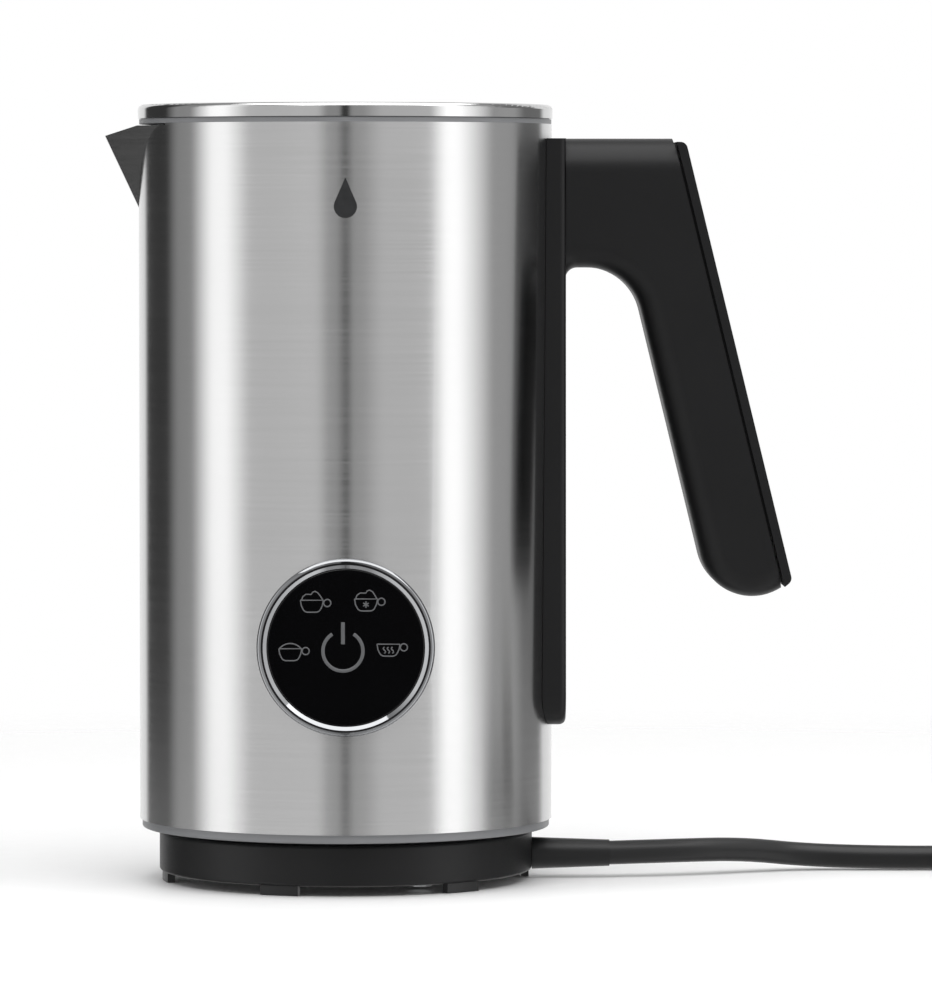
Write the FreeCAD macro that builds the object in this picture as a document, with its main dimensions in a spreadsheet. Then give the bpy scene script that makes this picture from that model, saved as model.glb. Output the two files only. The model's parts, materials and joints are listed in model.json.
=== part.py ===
"""A cordless milk frother: a steel jug with a clear lid, a touch panel, a magnetic whisk and an open
handle, standing on a round mains base with its cord.

Millimetres, +Z up. The origin is where the jug's axis meets the surface that the base stands on.
+X is the handle's side, -X the spout's, and the touch panel faces -Y.
"""
import FreeCAD, Part
import math
import os
import re
import Sketcher
from FreeCAD import Rotation, Vector

SIZES = {
    # Jug: a steel shell round a steel cup
    "body_radius": 53.0,
    "shell_wall": 0.8,
    "rim_height": 193.6,
    "cup_gap": 0.2,
    "cup_wall": 0.8,
    "cup_inset": 5.0,
    "cup_corner": 8.0,
    "waist_drop": 33.6,
    "shoulder_drop": 25.6,
    "flange": 0.5,
    # Spout: a V beak that leans out from the shell
    "spout_drop": 22.1,
    "spout_rise": 19.6,
    "spout_overhang": 9.2,
    "spout_blend": 0.3,
    "spout_slope": 16.0,
    "spout_nose": 2.6,
    # Lid
    "lid_height": 4.9,
    "rim_band": 3.5,
    "rim_over": 0.2,
    "rim_width": 7.2,
    "carrier_band": 1.2,
    "window_thickness": 2.5,
    "window_inset": 7.2,
    "seal_depth": 5.6,
    # Ring and cover under the jug
    "ring_clear": 0.7,
    "ring_height": 2.2,
    "ring_inset": 0.6,
    "ring_spigot": 6.0,
    "ring_width": 5.2,
    "cover_plate": 2.0,
    "boss_inset": 5.0,
    "boss_radius": 3.6,
    # Connector between base and jug
    "post_radius": 13.4,
    "post_rise": 13.0,
    "post_groove_in": 6.6,
    "post_groove_out": 9.6,
    "post_bore": 2.6,
    "socket_gap": 0.6,
    "socket_wall": 1.8,
    "socket_room": 3.0,
    "socket_play": 0.2,
    # Base
    "base_radius": 48.0,
    "base_wall": 2.0,
    "base_bottom": 2.4,
    "base_height": 13.0,
    "plate_play": 0.9,
    "plate_thickness": 1.8,
    "foot_inset": 0.7,
    "foot_width": 2.0,
    "foot_pocket": 1.0,
    "pad_radius": 9.0,
    "pad_recess": 0.8,
    "foot_span": 12.4,
    "base_screw_inset": 10.0,
    # Drive and heater
    "motor_radius": 13.75,
    "motor_lift": 2.4,
    "drive_room": 13.0,
    "shaft_radius": 1.5,
    "bracket_plate": 1.2,
    "bracket_radius": 30.5,
    "spacer_circle": 26.0,
    "heater_thickness": 4.0,
    "heater_inner": 20.0,
    "element_inset": 5.5,
    "element_radius": 2.4,
    "carrier_radius": 16.0,
    "carrier_lift": 2.8,
    "carrier_clear": 2.5,
    "magnet_circle": 9.5,
    "lead_length": 5.0,
    "board_thickness": 1.6,
    # Whisk
    "pin_radius": 1.5,
    "pin_length": 10.2,
    "hub_radius": 14.0,
    "hub_lift": 1.6,
    "hub_thickness": 4.0,
    "hub_neck": 4.4,
    "hub_height": 11.6,
    "whisk_circle": 15.0,
    "whisk_drop": 3.0,
    "coil_radius": 3.0,
    # Touch panel
    "panel_clear": 2.5,
    "panel_over_board": 0.9,
    "panel_proud": 1.0,
    "panel_depth": 12.0,
    "glass_radius": 19.7,
    "glass_thickness": 2.0,
    "glass_play": 0.1,
    "sleeve_wall": 1.2,
    "bezel_flange": 1.3,
    "bezel_proud": 0.6,
    "clamp_width": 3.5,
    "clamp_thickness": 1.8,
    # Handle
    "strip_thickness": 3.3,
    "strip_rise": 24.4,
    "strip_top_half": 13.5,
    "strip_foot_half": 17.5,
    "arm_drop": 3.2,
    "arm_depth": 33.0,
    "arm_flare": 3.0,
    "arm_length": 30.44,
    "lean": 13.7,
    "leg_thickness": 21.2,
    "handle_rise": 57.15,
    "end_radius": 13.7,
    "bend_radius": 14.2,
    "handle_width": 26.0,
    "grip_round": 6.0,
    "arm_round": 8.5,
    "cover_thickness": 2.25,
    "cover_groove": 0.7,
    "cavity_wall": 3.6,
    "handle_screw_drop": 9.4,
    "handle_screw_apart": 14.0,
    "handle_screw_grip": 9.7,
    "strip_screw_rise": 19.7,
    # Mains cord, its relief, its coil and its plug
    "cord_diameter": 6.2,
    "cord_height": 6.3,
    "relief_length": 20.0,
    "coil_x": 198.5,
    "coil_outer_turn": 37.1,
    "coil_inner_turn": 30.8,
    "coil_top_turn": 34.0,
    "coil_lift": 0.8,
    "coil_layer": 5.35,
    "plug_radius": 18.6,
    "plug_height": 24.0,
    "plug_collar": 16.0,
    "pin_spacing": 19.0,
    "plug_pin_radius": 2.4,
    "plug_pin_length": 19.0,
    "pin_neck": 0.2,
    "pin_shoulder": 0.5,
    "pin_root": 6.0,
    # Clearances and small parts
    "gap": 0.15,
    "fit": 0.05,
    "screw_radius": 1.45,
    "screw_head": 2.6,
    "screw_head_height": 1.4,
}

DERIVED = {
    "shell_bottom": "base_height + ring_clear + ring_height",
    "cup_radius": "body_radius - cup_inset",
    "cup_floor": "board_top + panel_over_board + 2 * clamp_radius + panel_clear",
    "cup_waist": "rim_height - waist_drop",
    "cup_shoulder": "rim_height - shoulder_drop",
    "spout_root": "rim_height - spout_drop",
    "lid_top": "flange_top + lid_height",
    "window_radius": "body_radius - window_inset",
    "ring_bore": "shell_inner - ring_width",
    "boss_circle": "ring_bore - boss_inset",
    "post_height": "base_height + post_rise",
    "groove_floor": "base_height + 1",
    "socket_top": "post_height + socket_room + 2",
    "socket_hole": "socket_radius + socket_play",
    "plate_radius": "base_radius - base_wall - plate_play",
    "foot_outer": "base_radius - foot_inset",
    "foot_inner": "foot_outer - foot_width",
    "base_screw_circle": "base_radius - base_screw_inset",
    "board_height": "socket_top + lead_length",
    "board_radius": "ring_bore - 1",
    "motor_bottom": "board_top + motor_lift",
    "motor_top": "cup_floor - drive_room",
    "heater_outer": "cup_radius - cup_corner",
    "element_circle": "heater_outer - element_inset",
    "carrier_bottom": "bracket_top + carrier_lift",
    "carrier_top": "cup_floor - carrier_clear",
    "pin_top": "cup_floor + cup_wall + pin_length",
    "hub_bottom": "cup_floor + cup_wall + hub_lift",
    "hub_top": "hub_bottom + hub_height",
    "whisk_height": "hub_top - whisk_drop",
    "panel_face": "body_radius + panel_proud",
    "panel_back": "panel_face - panel_depth",
    "bezel_bore": "glass_radius + glass_play",
    "bezel_sleeve": "bezel_bore + sleeve_wall",
    "bezel_radius": "bezel_sleeve + bezel_flange",
    "clamp_radius": "bezel_sleeve + clamp_width",
    "clamp_face": "sqrt(shell_inner^2 - clamp_radius^2) - fit",
    "clamp_back": "clamp_face - clamp_thickness",
    "panel_height": "cup_floor - clamp_radius - panel_clear",
    "strip_x": "body_radius + strip_thickness",
    "strip_bottom": "shell_bottom + strip_rise",
    "arm_top": "rim_height - arm_drop",
    "arm_bottom": "arm_top - arm_depth",
    "handle_top_x": "strip_x + arm_length",
    "handle_low": "shell_bottom + handle_rise",
    "handle_screw_top": "arm_top - handle_screw_drop",
    "handle_screw_low": "handle_screw_top - handle_screw_apart",
    "handle_screw_seat": "strip_x + handle_screw_grip",
    "strip_screw_height": "strip_bottom + strip_screw_rise",
    "shell_inner": "body_radius - shell_wall",
    "cup_top": "shell_inner - cup_gap",
    "cup_mouth": "cup_top - cup_wall",
    "flange_top": "rim_height + flange",
    "spout_lean": "spout_overhang / spout_rise",
    "spout_reach": "body_radius + spout_lean * (rim_height - spout_root)",
    "spout_sine": "(body_radius - spout_blend) / spout_reach",
    "spout_cosine": "sqrt(1 - spout_sine^2)",
    "spout_depth": "spout_reach * spout_cosine^2",
    "rim_bottom": "lid_top - rim_band",
    "carrier_top_face": "flange_top + carrier_band",
    "window_bottom": "rim_bottom - 1",
    "window_top": "window_bottom + window_thickness",
    "seal_bottom": "flange_top - seal_depth",
    "ring_bottom": "base_height + ring_clear",
    "ring_radius": "body_radius - ring_inset",
    "cover_top": "base_height + cover_plate",
    "socket_bore": "post_radius + socket_gap",
    "socket_radius": "socket_bore + socket_wall",
    "post_flange": "socket_hole + 4",
    "base_top_under": "base_height - base_wall",
    "plate_bottom": "base_bottom + 0.2",
    "plate_top": "plate_bottom + plate_thickness",
    "foot_top": "base_bottom + foot_pocket",
    "pad_top": "plate_bottom + pad_recess",
    "board_top": "board_height + board_thickness",
    "bracket_top": "motor_top + bracket_plate",
    "heater_bottom": "cup_floor - heater_thickness",
    "hub_magnet_top": "hub_bottom + 3.2",
    "carrier_magnet_bottom": "carrier_top - 3.2",
    "bezel_face": "panel_face + bezel_proud",
    "glass_back": "panel_face - glass_thickness",
    "cavity_depth": "leg_thickness - cavity_wall",
    "cavity_half": "handle_width / 2 - cavity_wall",
    "body_depth": "cover_thickness + cover_groove",
    "cavity_top": "arm_top - 7",
    "end_z": "handle_low + end_radius",
    "cavity_bottom": "end_z + 2",
    "cover_head": "arm_top - 0.9",
    "bend_tangent": "bend_radius * tan(45 - lean / 2)",
    "cord_radius": "cord_diameter / 2",
    "coil_y": "route_end_y - coil_outer_turn",
    "coil_low": "coil_lift + cord_radius",
    "coil_high": "coil_low + coil_layer",
    "plug_start": "coil_x + sqrt((coil_outer_turn + cord_radius)^2 - coil_top_turn^2) + 7",
    "plug_x": "plug_start + plug_collar + plug_radius - 2",
    "plug_y": "coil_y + coil_top_turn",
}

# The cord's way over the surface: out of the relief, up a little, round towards the back and down.
CORD_START = (67.5, 0.0, 6.3)
CORD_BENDS = [(85.0, 2.5, 6.6), (103.0, 11.0, 6.2), (120.0, 19.2, 3.7), (142.0, 18.0, 3.15)]
CORD_END = (163.9, 18.0, 3.15)
SIZES["route_end_x"], SIZES["route_end_y"], SIZES["route_end_z"] = CORD_END

doc = FreeCAD.newDocument("milk_frother")
dims = doc.addObject("Spreadsheet::Sheet", "dims")
for row, (size_name, size) in enumerate(SIZES.items(), 1):
    dims.set("A%d" % row, size_name)
    dims.set("B%d" % row, str(size))
    dims.setAlias("B%d" % row, size_name)
doc.recompute()
nodes = []


# ---- Expressions ---------------------------------------------------------------------------------
def bound(text):
    """The text as an expression: a size's name becomes its cell, a derived name its formula."""
    def swap(match):
        word = match.group(0)
        if word in DERIVED:
            return "(" + bound(DERIVED[word]) + ")"
        return "dims." + word if word in SIZES else word
    return re.sub(r"[a-z][a-z_0-9]*", swap, text)


def value(text):
    """What the text works out to now."""
    answer = dims.evalExpression(bound(text))
    return float(getattr(answer, "Value", answer))


def bind(thing, **properties):
    """Binds properties to sizes. A double underscore in a name stands for a dot."""
    for name, text in properties.items():
        thing.setExpression(name.replace("__", "."), bound(text))


# ---- Sketched bodies -----------------------------------------------------------------------------
def body(name):
    made = doc.addObject("PartDesign::Body", name)
    made.AllowCompound = True
    doc.recompute()
    return made


def sketch(owner, role="XZ_Plane", lift="0"):
    """An empty sketch on one of the body's own origin planes, moved along its normal."""
    plane = next(f for f in owner.Origin.OriginFeatures if f.Role == role)
    made = owner.newObject("Sketcher::SketchObject", owner.Name + "_sketch")
    made.AttachmentSupport = [(plane, "")]
    made.MapMode = "FlatFace"
    bind(made, AttachmentOffset__Base__z=lift)
    return made


def outline(drawing, points):
    """A closed outline. A point is (x, y), or (x, y, radius) where an arc arrives at it: the arc
    bulges to the left of the way it is drawn, or to the right if its radius starts with a minus."""
    places = [Vector(value(p[0]), value(p[1]), 0) for p in points]
    first = drawing.GeometryCount
    ends = []
    for k, point in enumerate(points):
        start, end = places[k - 1], places[k]
        if len(point) == 2:
            drawing.addGeometry(Part.LineSegment(start, end), False)
            ends.append((1, 2))
            continue
        radius = value(point[2])
        chord = end - start
        left = Vector(-chord.y, chord.x, 0).normalize()
        rise = abs(radius) - math.sqrt(radius ** 2 - (chord.Length / 2) ** 2)
        middle = (start + end) / 2 + left * math.copysign(rise, radius)
        drawing.addGeometry(Part.Arc(start, middle, end), False)
        ends.append((2, 1) if radius > 0 else (1, 2))
    for k, point in enumerate(points):
        after = (k + 1) % len(points)
        joint = Sketcher.Constraint("Coincident", first + k, ends[k][1], first + after, ends[after][0])
        drawing.addConstraint(joint)
        for kind, text, at in (("DistanceX", point[0], places[k].x), ("DistanceY", point[1], places[k].y)):
            rule = Sketcher.Constraint(kind, -1, 1, first + k, ends[k][1], at)
            drawing.setExpression("Constraints[%d]" % drawing.addConstraint(rule), bound(text))
        if len(point) == 3:
            rule = Sketcher.Constraint("Radius", first + k, abs(value(point[2])))
            drawing.setExpression("Constraints[%d]" % drawing.addConstraint(rule),
                                  bound(point[2].lstrip("-")))


def circles(drawing, places, radius):
    """A circle of the same radius at each (x, y) place."""
    for x, y in places:
        centre = Vector(value(x), value(y), 0)
        index = drawing.addGeometry(Part.Circle(centre, Vector(0, 0, 1), value(radius)), False)
        rules = [
            (Sketcher.Constraint("DistanceX", -1, 1, index, 3, centre.x), x),
            (Sketcher.Constraint("DistanceY", -1, 1, index, 3, centre.y), y),
            (Sketcher.Constraint("Radius", index, value(radius)), radius),
        ]
        for rule, text in rules:
            drawing.setExpression("Constraints[%d]" % drawing.addConstraint(rule), bound(text))


def turned(name, *outlines, angle="360"):
    """A body turned about Z from outlines of (radius, height)."""
    owner = body(name)
    drawing = sketch(owner)
    for points in outlines:
        outline(drawing, points)
    made = owner.newObject("PartDesign::Revolution", name + "_turn")
    made.Profile = drawing
    made.ReferenceAxis = (drawing, ["V_Axis"])
    made.Midplane = True
    bind(made, Angle=angle)
    return owner


def slab(name, points, thickness, role="XZ_Plane", lift="0", middle=True):
    """A body of an outline given a thickness, to both sides of its plane unless middle is False."""
    owner = body(name)
    add_slab(owner, points, thickness, role, lift, middle)
    return owner


def add_slab(owner, points, thickness, role="XZ_Plane", lift="0", middle=True):
    drawing = sketch(owner, role, lift)
    outline(drawing, points)
    made = owner.newObject("PartDesign::Pad", owner.Name + "_pad")
    made.Profile = drawing
    made.Midplane = middle
    bind(made, Length=thickness)


def pocket(owner, drawing, length, middle=False):
    """Cuts the drawing out of the body, along its plane's normal, and checks that it cut something."""
    doc.recompute()
    before = owner.Shape.Volume
    made = owner.newObject("PartDesign::Pocket", owner.Name + "_pocket")
    made.Profile = drawing
    made.Reversed = not middle
    made.Midplane = middle
    bind(made, Length=length)
    doc.recompute()
    if owner.Shape.Volume > before - 1e-3:
        raise RuntimeError(owner.Name + ": a pocket cuts nothing")


def drill(owner, places, radius, low, high, role="XY_Plane"):
    """Round holes of one size between two heights."""
    drawing = sketch(owner, role, low)
    circles(drawing, places, radius)
    pocket(owner, drawing, "(%s) - (%s)" % (high, low))


def rounded(owner, radius, chosen):
    """A fillet on the edges that chosen(edge) picks."""
    doc.recompute()
    base = owner.Tip
    names = ["Edge%d" % (k + 1) for k, edge in enumerate(base.Shape.Edges) if chosen(edge)]
    if not names:
        raise RuntimeError(owner.Name + ": no edge to round")
    made = owner.newObject("PartDesign::Fillet", owner.Name + "_round")
    made.Base = (base, names)
    bind(made, Radius=radius)
    doc.recompute()


def ring_at(radius, height):
    """Picks the circular edge of that radius and height on a turned body."""
    want_radius, want_height = value(radius), value(height)

    def chosen(edge):
        circle = edge.Curve
        if circle.TypeId != "Part::GeomCircle":
            return False
        return abs(circle.Radius - want_radius) < 0.01 and abs(circle.Center.z - want_height) < 0.01
    return chosen


# ---- Solids and booleans -------------------------------------------------------------------------
def place(thing, x="0", y="0", z="0", axis=None, angle=0):
    if axis:
        thing.Placement.Rotation = Rotation(Vector(*axis), angle)
    bind(thing, Placement__Base__x=x, Placement__Base__y=y, Placement__Base__z=z)
    return thing


def cylinder(name, radius, low, high, x="0", y="0"):
    """An upright cylinder between two heights."""
    made = doc.addObject("Part::Cylinder", name)
    bind(made, Radius=radius, Height="(%s) - (%s)" % (high, low))
    return place(made, x, y, low)


def level_cylinder(name, radius, start, end, y="0", z="0"):
    """A cylinder along X."""
    made = doc.addObject("Part::Cylinder", name)
    bind(made, Radius=radius, Height="(%s) - (%s)" % (end, start))
    return place(made, start, y, z, (0, 1, 0), 90)


def block(name, x, y, z):
    """A box between the (low, high) pairs x, y and z."""
    made = doc.addObject("Part::Box", name)
    lengths = ["(%s) - (%s)" % (high, low) for low, high in (x, y, z)]
    bind(made, Length=lengths[0], Width=lengths[1], Height=lengths[2])
    return place(made, x[0], y[0], z[0])


def torus(name, circle, radius, height):
    made = doc.addObject("Part::Torus", name)
    bind(made, Radius1=circle, Radius2=radius)
    return place(made, z=height)


def fused(name, pieces):
    made = doc.addObject("Part::MultiFuse", name)
    made.Shapes = pieces
    return made


def cut(name, base, tools):
    made = doc.addObject("Part::Cut", name)
    made.Base = base
    made.Tool = tools[0] if len(tools) == 1 else fused(name + "_tools", tools)
    return made


def node(label, thing):
    """Names a finished sub-part and puts it on the list to write."""
    thing.Label = label
    nodes.append(thing)
    return thing


def around(count, circle, start=0):
    """The (x, y) places of a ring of equal pieces."""
    turns = [start + 360.0 * k / count for k in range(count)]
    return [("%s * cos(%g)" % (circle, a), "%s * sin(%g)" % (circle, a)) for a in turns]


def screws(label, places, seat, tip, radius="screw_radius", head="screw_head"):
    """Upright pan-head screws. The head is on the far side of its seat from the tip."""
    up = value(tip) > value(seat)
    far = "%s %s screw_head_height" % (seat, "-" if up else "+")
    pieces = []
    for k, (x, y) in enumerate(places):
        low, high = (far, seat) if up else (seat, far)
        pieces.append(cylinder("%s_head_%d" % (label, k), head, low, high, x, y))
        low, high = (seat, tip) if up else (tip, seat)
        pieces.append(cylinder("%s_shank_%d" % (label, k), radius, low, high, x, y))
    return node(label, fused(label, pieces))


# ---- Base ----------------------------------------------------------------------------------------
FOOT_START = 9
base_bosses = around(3, "base_screw_circle", 60)


def feet(name, grow):
    """Six arc feet under the skirt, each grown by a clearance on its sides."""
    made = turned(name, [
        ("foot_inner - " + grow, "0"), ("foot_outer + " + grow, "0"),
        ("foot_outer + " + grow, "foot_top"), ("foot_inner - " + grow, "foot_top")],
        angle="foot_span + 2 * " + grow)
    pattern = made.newObject("PartDesign::PolarPattern", name + "_pattern")
    pattern.Originals = [made.Tip]
    pattern.Axis = (pattern.Originals[0].Profile[0], ["V_Axis"])
    pattern.Angle = 360
    pattern.Occurrences = 6
    made.Tip = pattern
    return place(made, axis=(0, 0, 1), angle=FOOT_START)


def make_base():
    cover = turned("base_shell", [
        ("base_radius - base_wall", "base_bottom"), ("base_radius", "base_bottom"),
        ("base_radius", "base_height"), ("socket_hole", "base_height"),
        ("socket_hole", "base_top_under"), ("base_radius - base_wall", "base_top_under")])
    rounded(cover, "1.2", ring_at("base_radius", "base_height"))
    rounded(cover, "0.9", ring_at("base_radius", "base_bottom"))
    bosses = [cylinder("base_boss_%d" % k, "3.4", "plate_top", "base_top_under + 0.5", x, y)
              for k, (x, y) in enumerate(base_bosses)]
    bores = [cylinder("base_boss_bore_%d" % k, "screw_radius + fit", "plate_top - 1",
                      "base_top_under - 1", x, y)
             for k, (x, y) in enumerate(base_bosses)]
    slot = [
        level_cylinder("relief_slot_round", "cord_radius + 0.65", "base_radius - base_wall - 1",
                       "base_radius + 1", z="cord_height"),
        block("relief_slot", ("base_radius - base_wall - 1", "base_radius + 1"),
              ("-cord_radius - 0.65", "cord_radius + 0.65"), ("base_bottom - 1", "cord_height"))]
    whole = fused("base_cover_solid", [cover] + bosses)
    node("base_cover", cut("base_cover", whole, bores + slot + [feet("foot_pockets", "fit")]))

    plate = turned("base_bottom_plate", [
        ("0", "pad_top"), ("pad_radius + fit", "pad_top"), ("pad_radius + fit", "plate_bottom"),
        ("plate_radius", "plate_bottom"), ("plate_radius", "plate_top"), ("0", "plate_top")])
    drill(plate, base_bosses, "screw_radius + gap", "plate_bottom", "plate_top")
    node("base_bottom_plate", plate)
    node("base_feet", feet("base_feet", "0"))
    # The pad takes the push on the connector when the jug is set down
    node("centre_pad", turned("centre_pad", [
        ("0", "0"), ("pad_radius - 0.6", "0"), ("pad_radius", "0.6"), ("pad_radius",
            "pad_top"), ("0", "pad_top")]))
    screws("base_screws", base_bosses, "plate_bottom", "base_top_under - 1.5")


def make_connector():
    """The base's post with its ring groove, and the socket under the jug that drops over it."""
    post = turned("base_connector", [
        ("0", "plate_top + 0.6"), ("socket_hole - 2", "plate_top + 0.6"),
        ("socket_hole - 2", "base_top_under - 2"), ("post_flange", "base_top_under - 2"),
        ("post_flange", "base_top_under"), ("post_radius", "base_top_under"),
        ("post_radius", "post_height"), ("post_groove_out", "post_height"),
        ("post_groove_out", "groove_floor"), ("post_groove_in", "groove_floor"),
        ("post_groove_in", "post_height"), ("post_bore", "post_height"),
        ("post_bore", "groove_floor"), ("0", "groove_floor")])
    rounded(post, "1.5", ring_at("post_radius", "post_height"))
    rounded(post, "0.8", ring_at("post_groove_in", "post_height"))
    node("base_connector", post)
    contacts = turned("base_contacts", [
        ("post_groove_out - 0.6", "groove_floor"), ("post_groove_out - gap", "groove_floor"),
        ("post_groove_out - gap", "groove_floor + 8"), ("post_groove_out - 0.6", "groove_floor + 8")],
        [("0", "groove_floor"), ("post_bore - gap", "groove_floor"),
         ("post_bore - gap", "groove_floor + 1"), ("0", "groove_floor + 1")])
    node("base_contacts", contacts)

    cover = turned("jug_base_cover", [
        ("socket_hole", "base_height"), ("ring_bore - gap", "base_height"),
        ("ring_bore - gap", "cover_top"), ("socket_hole", "cover_top")])
    drill(cover, around(3, "boss_circle"), "screw_radius + gap", "base_height", "cover_top")
    drill(cover, around(3, "boss_circle"), "screw_head + gap", "base_height", "base_height + 1.2")
    node("jug_base_cover", cover)
    # The cover's screws are sunk in it, so that the jug stands flat on its base
    node("cover_screws", fused("cover_screws", [
        piece for k, (x, y) in enumerate(around(3, "boss_circle")) for piece in (
            cylinder("cover_screw_head_%d" % k, "screw_head", "base_height + 0.2",
                     "base_height + 1.2", x, y),
            cylinder("cover_screw_shank_%d" % k, "screw_radius", "base_height + 1.2",
                     "cover_top + 7", x, y))]))

    socket = turned("jug_connector", [
        ("socket_bore", "base_height"), ("socket_radius", "base_height"), ("socket_radius", "cover_top"),
        ("post_flange", "cover_top"), ("post_flange", "cover_top + 2"), ("socket_radius", "cover_top + 2"),
        ("socket_radius", "socket_top"), ("0", "socket_top"), ("0", "socket_top - 2"),
        ("socket_bore", "socket_top - 2")])
    node("jug_connector", socket)
    middle = "(post_groove_in + post_groove_out) / 2"
    node("connector_contacts", turned("connector_contacts", [
        ("0", "groove_floor + 2"), ("post_bore - 0.8", "groove_floor + 2"),
        ("post_bore - 0.8", "socket_top - 2"), ("0", "socket_top - 2")], [
        (middle + " - 0.5", "groove_floor + 3"), (middle + " + 0.3", "groove_floor + 3"),
        (middle + " + 0.3", "socket_top - 2"), (middle + " - 0.5", "socket_top - 2")]))
    leads = [cylinder("supply_lead_%d" % k, "0.9", "socket_top", "board_height", x, y)
             for k, (x, y) in enumerate(around(3, "7", 90))]
    node("supply_leads", fused("supply_leads", leads))


# ---- Jug -----------------------------------------------------------------------------------------
def beak(name, inset):
    """A leaning wedge with a rounded nose: the spout's outside, drawn in by an inset."""
    owner = body(name)
    drawing = sketch(owner, "XY_Plane", "spout_root")
    nose = "-body_radius + (%s) / spout_sine" % inset
    half = "spout_depth * spout_sine / spout_cosine"
    outline(drawing, [(nose, "0"), (nose + " + spout_depth", "-%s" % half), (nose + " + spout_depth", half)])
    made = owner.newObject("PartDesign::Pad", name + "_pad")
    made.Profile = drawing
    made.UseCustomVector = True
    made.AlongSketchNormal = True
    made.Direction = Vector(-1, 0, 1)
    bind(made, Length="rim_height + 3 - spout_root", Direction__x="-spout_lean")
    doc.recompute()
    rounded(owner, "spout_nose - (%s)" % inset, lambda edge: abs(edge.CenterOfMass.y) < 0.01
            and edge.BoundBox.ZLength > 1 and edge.BoundBox.YLength < 0.01)
    return owner


def trimmed_beak(name, inset, above):
    return cut(name + "_trimmed", beak(name, inset), [above])


def make_shell_and_cup():
    above_spout = slab("above_spout", [
        ("-body_radius / 2", "rim_height"), ("-body_radius", "rim_height"),
        ("-body_radius - 20", "rim_height - 20 * tan(spout_slope)"),
        ("-body_radius - 20", "rim_height + 10"), ("-body_radius / 2", "rim_height + 10")],
        "3 * body_radius")
    tube = cylinder("shell_tube", "body_radius", "shell_bottom", "rim_height")
    outside = fused("shell_outside", [tube, trimmed_beak("shell_beak", "0", above_spout)])
    hollow = cylinder("shell_hollow", "shell_inner", "shell_bottom - 1", "rim_height + 1")
    panel_hole = doc.addObject("Part::Cylinder", "panel_hole")
    bind(panel_hole, Radius="bezel_sleeve + gap", Height="body_radius")
    place(panel_hole, z="panel_height", axis=(1, 0, 0), angle=90)
    screw_hole = level_cylinder("strip_screw_hole", "screw_radius + gap", "body_radius - 4",
                                "body_radius + 2", z="strip_screw_height")
    node("outer_shell", cut("outer_shell", outside, [
        hollow, beak("shell_beak_hollow", "shell_wall"), panel_hole, screw_hole]))

    cup = turned("cup_turned", [
        ("0", "cup_floor"), ("cup_radius - cup_corner", "cup_floor"),
        ("cup_radius", "cup_floor + cup_corner", "-cup_corner"), ("cup_radius", "cup_waist"),
        ("cup_top", "cup_shoulder"), ("cup_top", "rim_height"), ("body_radius", "rim_height"),
        ("body_radius", "flange_top"), ("cup_mouth", "flange_top"), ("cup_mouth", "cup_shoulder"),
        ("cup_radius - cup_wall", "cup_waist"), ("cup_radius - cup_wall", "cup_floor + cup_corner"),
        ("cup_radius - cup_corner", "cup_floor + cup_wall", "cup_corner - cup_wall"),
        ("0", "cup_floor + cup_wall")])
    cup_hollow = turned("cup_hollow", [
        ("0", "cup_waist"), ("cup_radius - cup_wall", "cup_waist"), ("cup_mouth", "cup_shoulder"),
        ("cup_mouth", "rim_height + 2"), ("0", "rim_height + 2")])
    lining = cut("cup_lining", trimmed_beak("cup_beak", "shell_wall + cup_gap", above_spout), [cup_hollow])
    mouth = block("spout_mouth", ("-body_radius - 20", "-body_radius + 7.5"),
                  ("-body_radius", "body_radius"), ("rim_height", "rim_height + 4"))
    node("inner_cup", cut("inner_cup", fused("cup_and_lining", [cup, lining]), [
        beak("cup_beak_hollow", "shell_wall + cup_gap + cup_wall"), mouth]))
    node("whisk_pin", turned("whisk_pin", [
        ("0", "cup_floor + cup_wall"), ("3.5", "cup_floor + cup_wall"),
        ("3.5", "cup_floor + cup_wall + 0.5"), ("pin_radius", "cup_floor + cup_wall + 0.5"),
        ("pin_radius", "pin_top - 1"), ("pin_radius - 1", "pin_top"), ("0", "pin_top")]))


def make_bottom_ring():
    """The grey ring under the shell, with the bosses that carry the board and take the screws."""
    ring = turned("ring_turned", [
        ("ring_bore", "ring_bottom"), ("ring_radius", "ring_bottom"), ("ring_radius", "shell_bottom"),
        ("shell_inner - gap", "shell_bottom"), ("shell_inner - gap", "shell_bottom + ring_spigot"),
        ("ring_bore", "shell_bottom + ring_spigot")])
    rounded(ring, "0.5", ring_at("ring_radius", "ring_bottom"))
    pieces = [ring]
    bores = []
    for k, (x, y) in enumerate(around(3, "boss_circle")):
        pieces.append(cylinder("ring_boss_%d" % k, "boss_radius", "cover_top", "board_height", x, y))
        lug = doc.addObject("Part::Box", "ring_lug_%d" % k)
        bind(lug, Length="ring_bore + 2 - boss_circle", Width="4", Height="ring_spigot")
        place(lug, "boss_circle * cos(%g) + 2 * sin(%g)" % (120 * k, 120 * k),
              "boss_circle * sin(%g) - 2 * cos(%g)" % (120 * k, 120 * k), "shell_bottom",
              (0, 0, 1), 120 * k)
        pieces.append(lug)
        bores.append(cylinder("ring_bore_low_%d" % k, "screw_radius + fit", "cover_top - 1",
                              "cover_top + 8", x, y))
        bores.append(cylinder("ring_bore_top_%d" % k, "screw_radius + fit", "board_height - 8",
                              "board_height + 1", x, y))
    node("bottom_ring", cut("bottom_ring", fused("bottom_ring_solid", pieces), bores))


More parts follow.
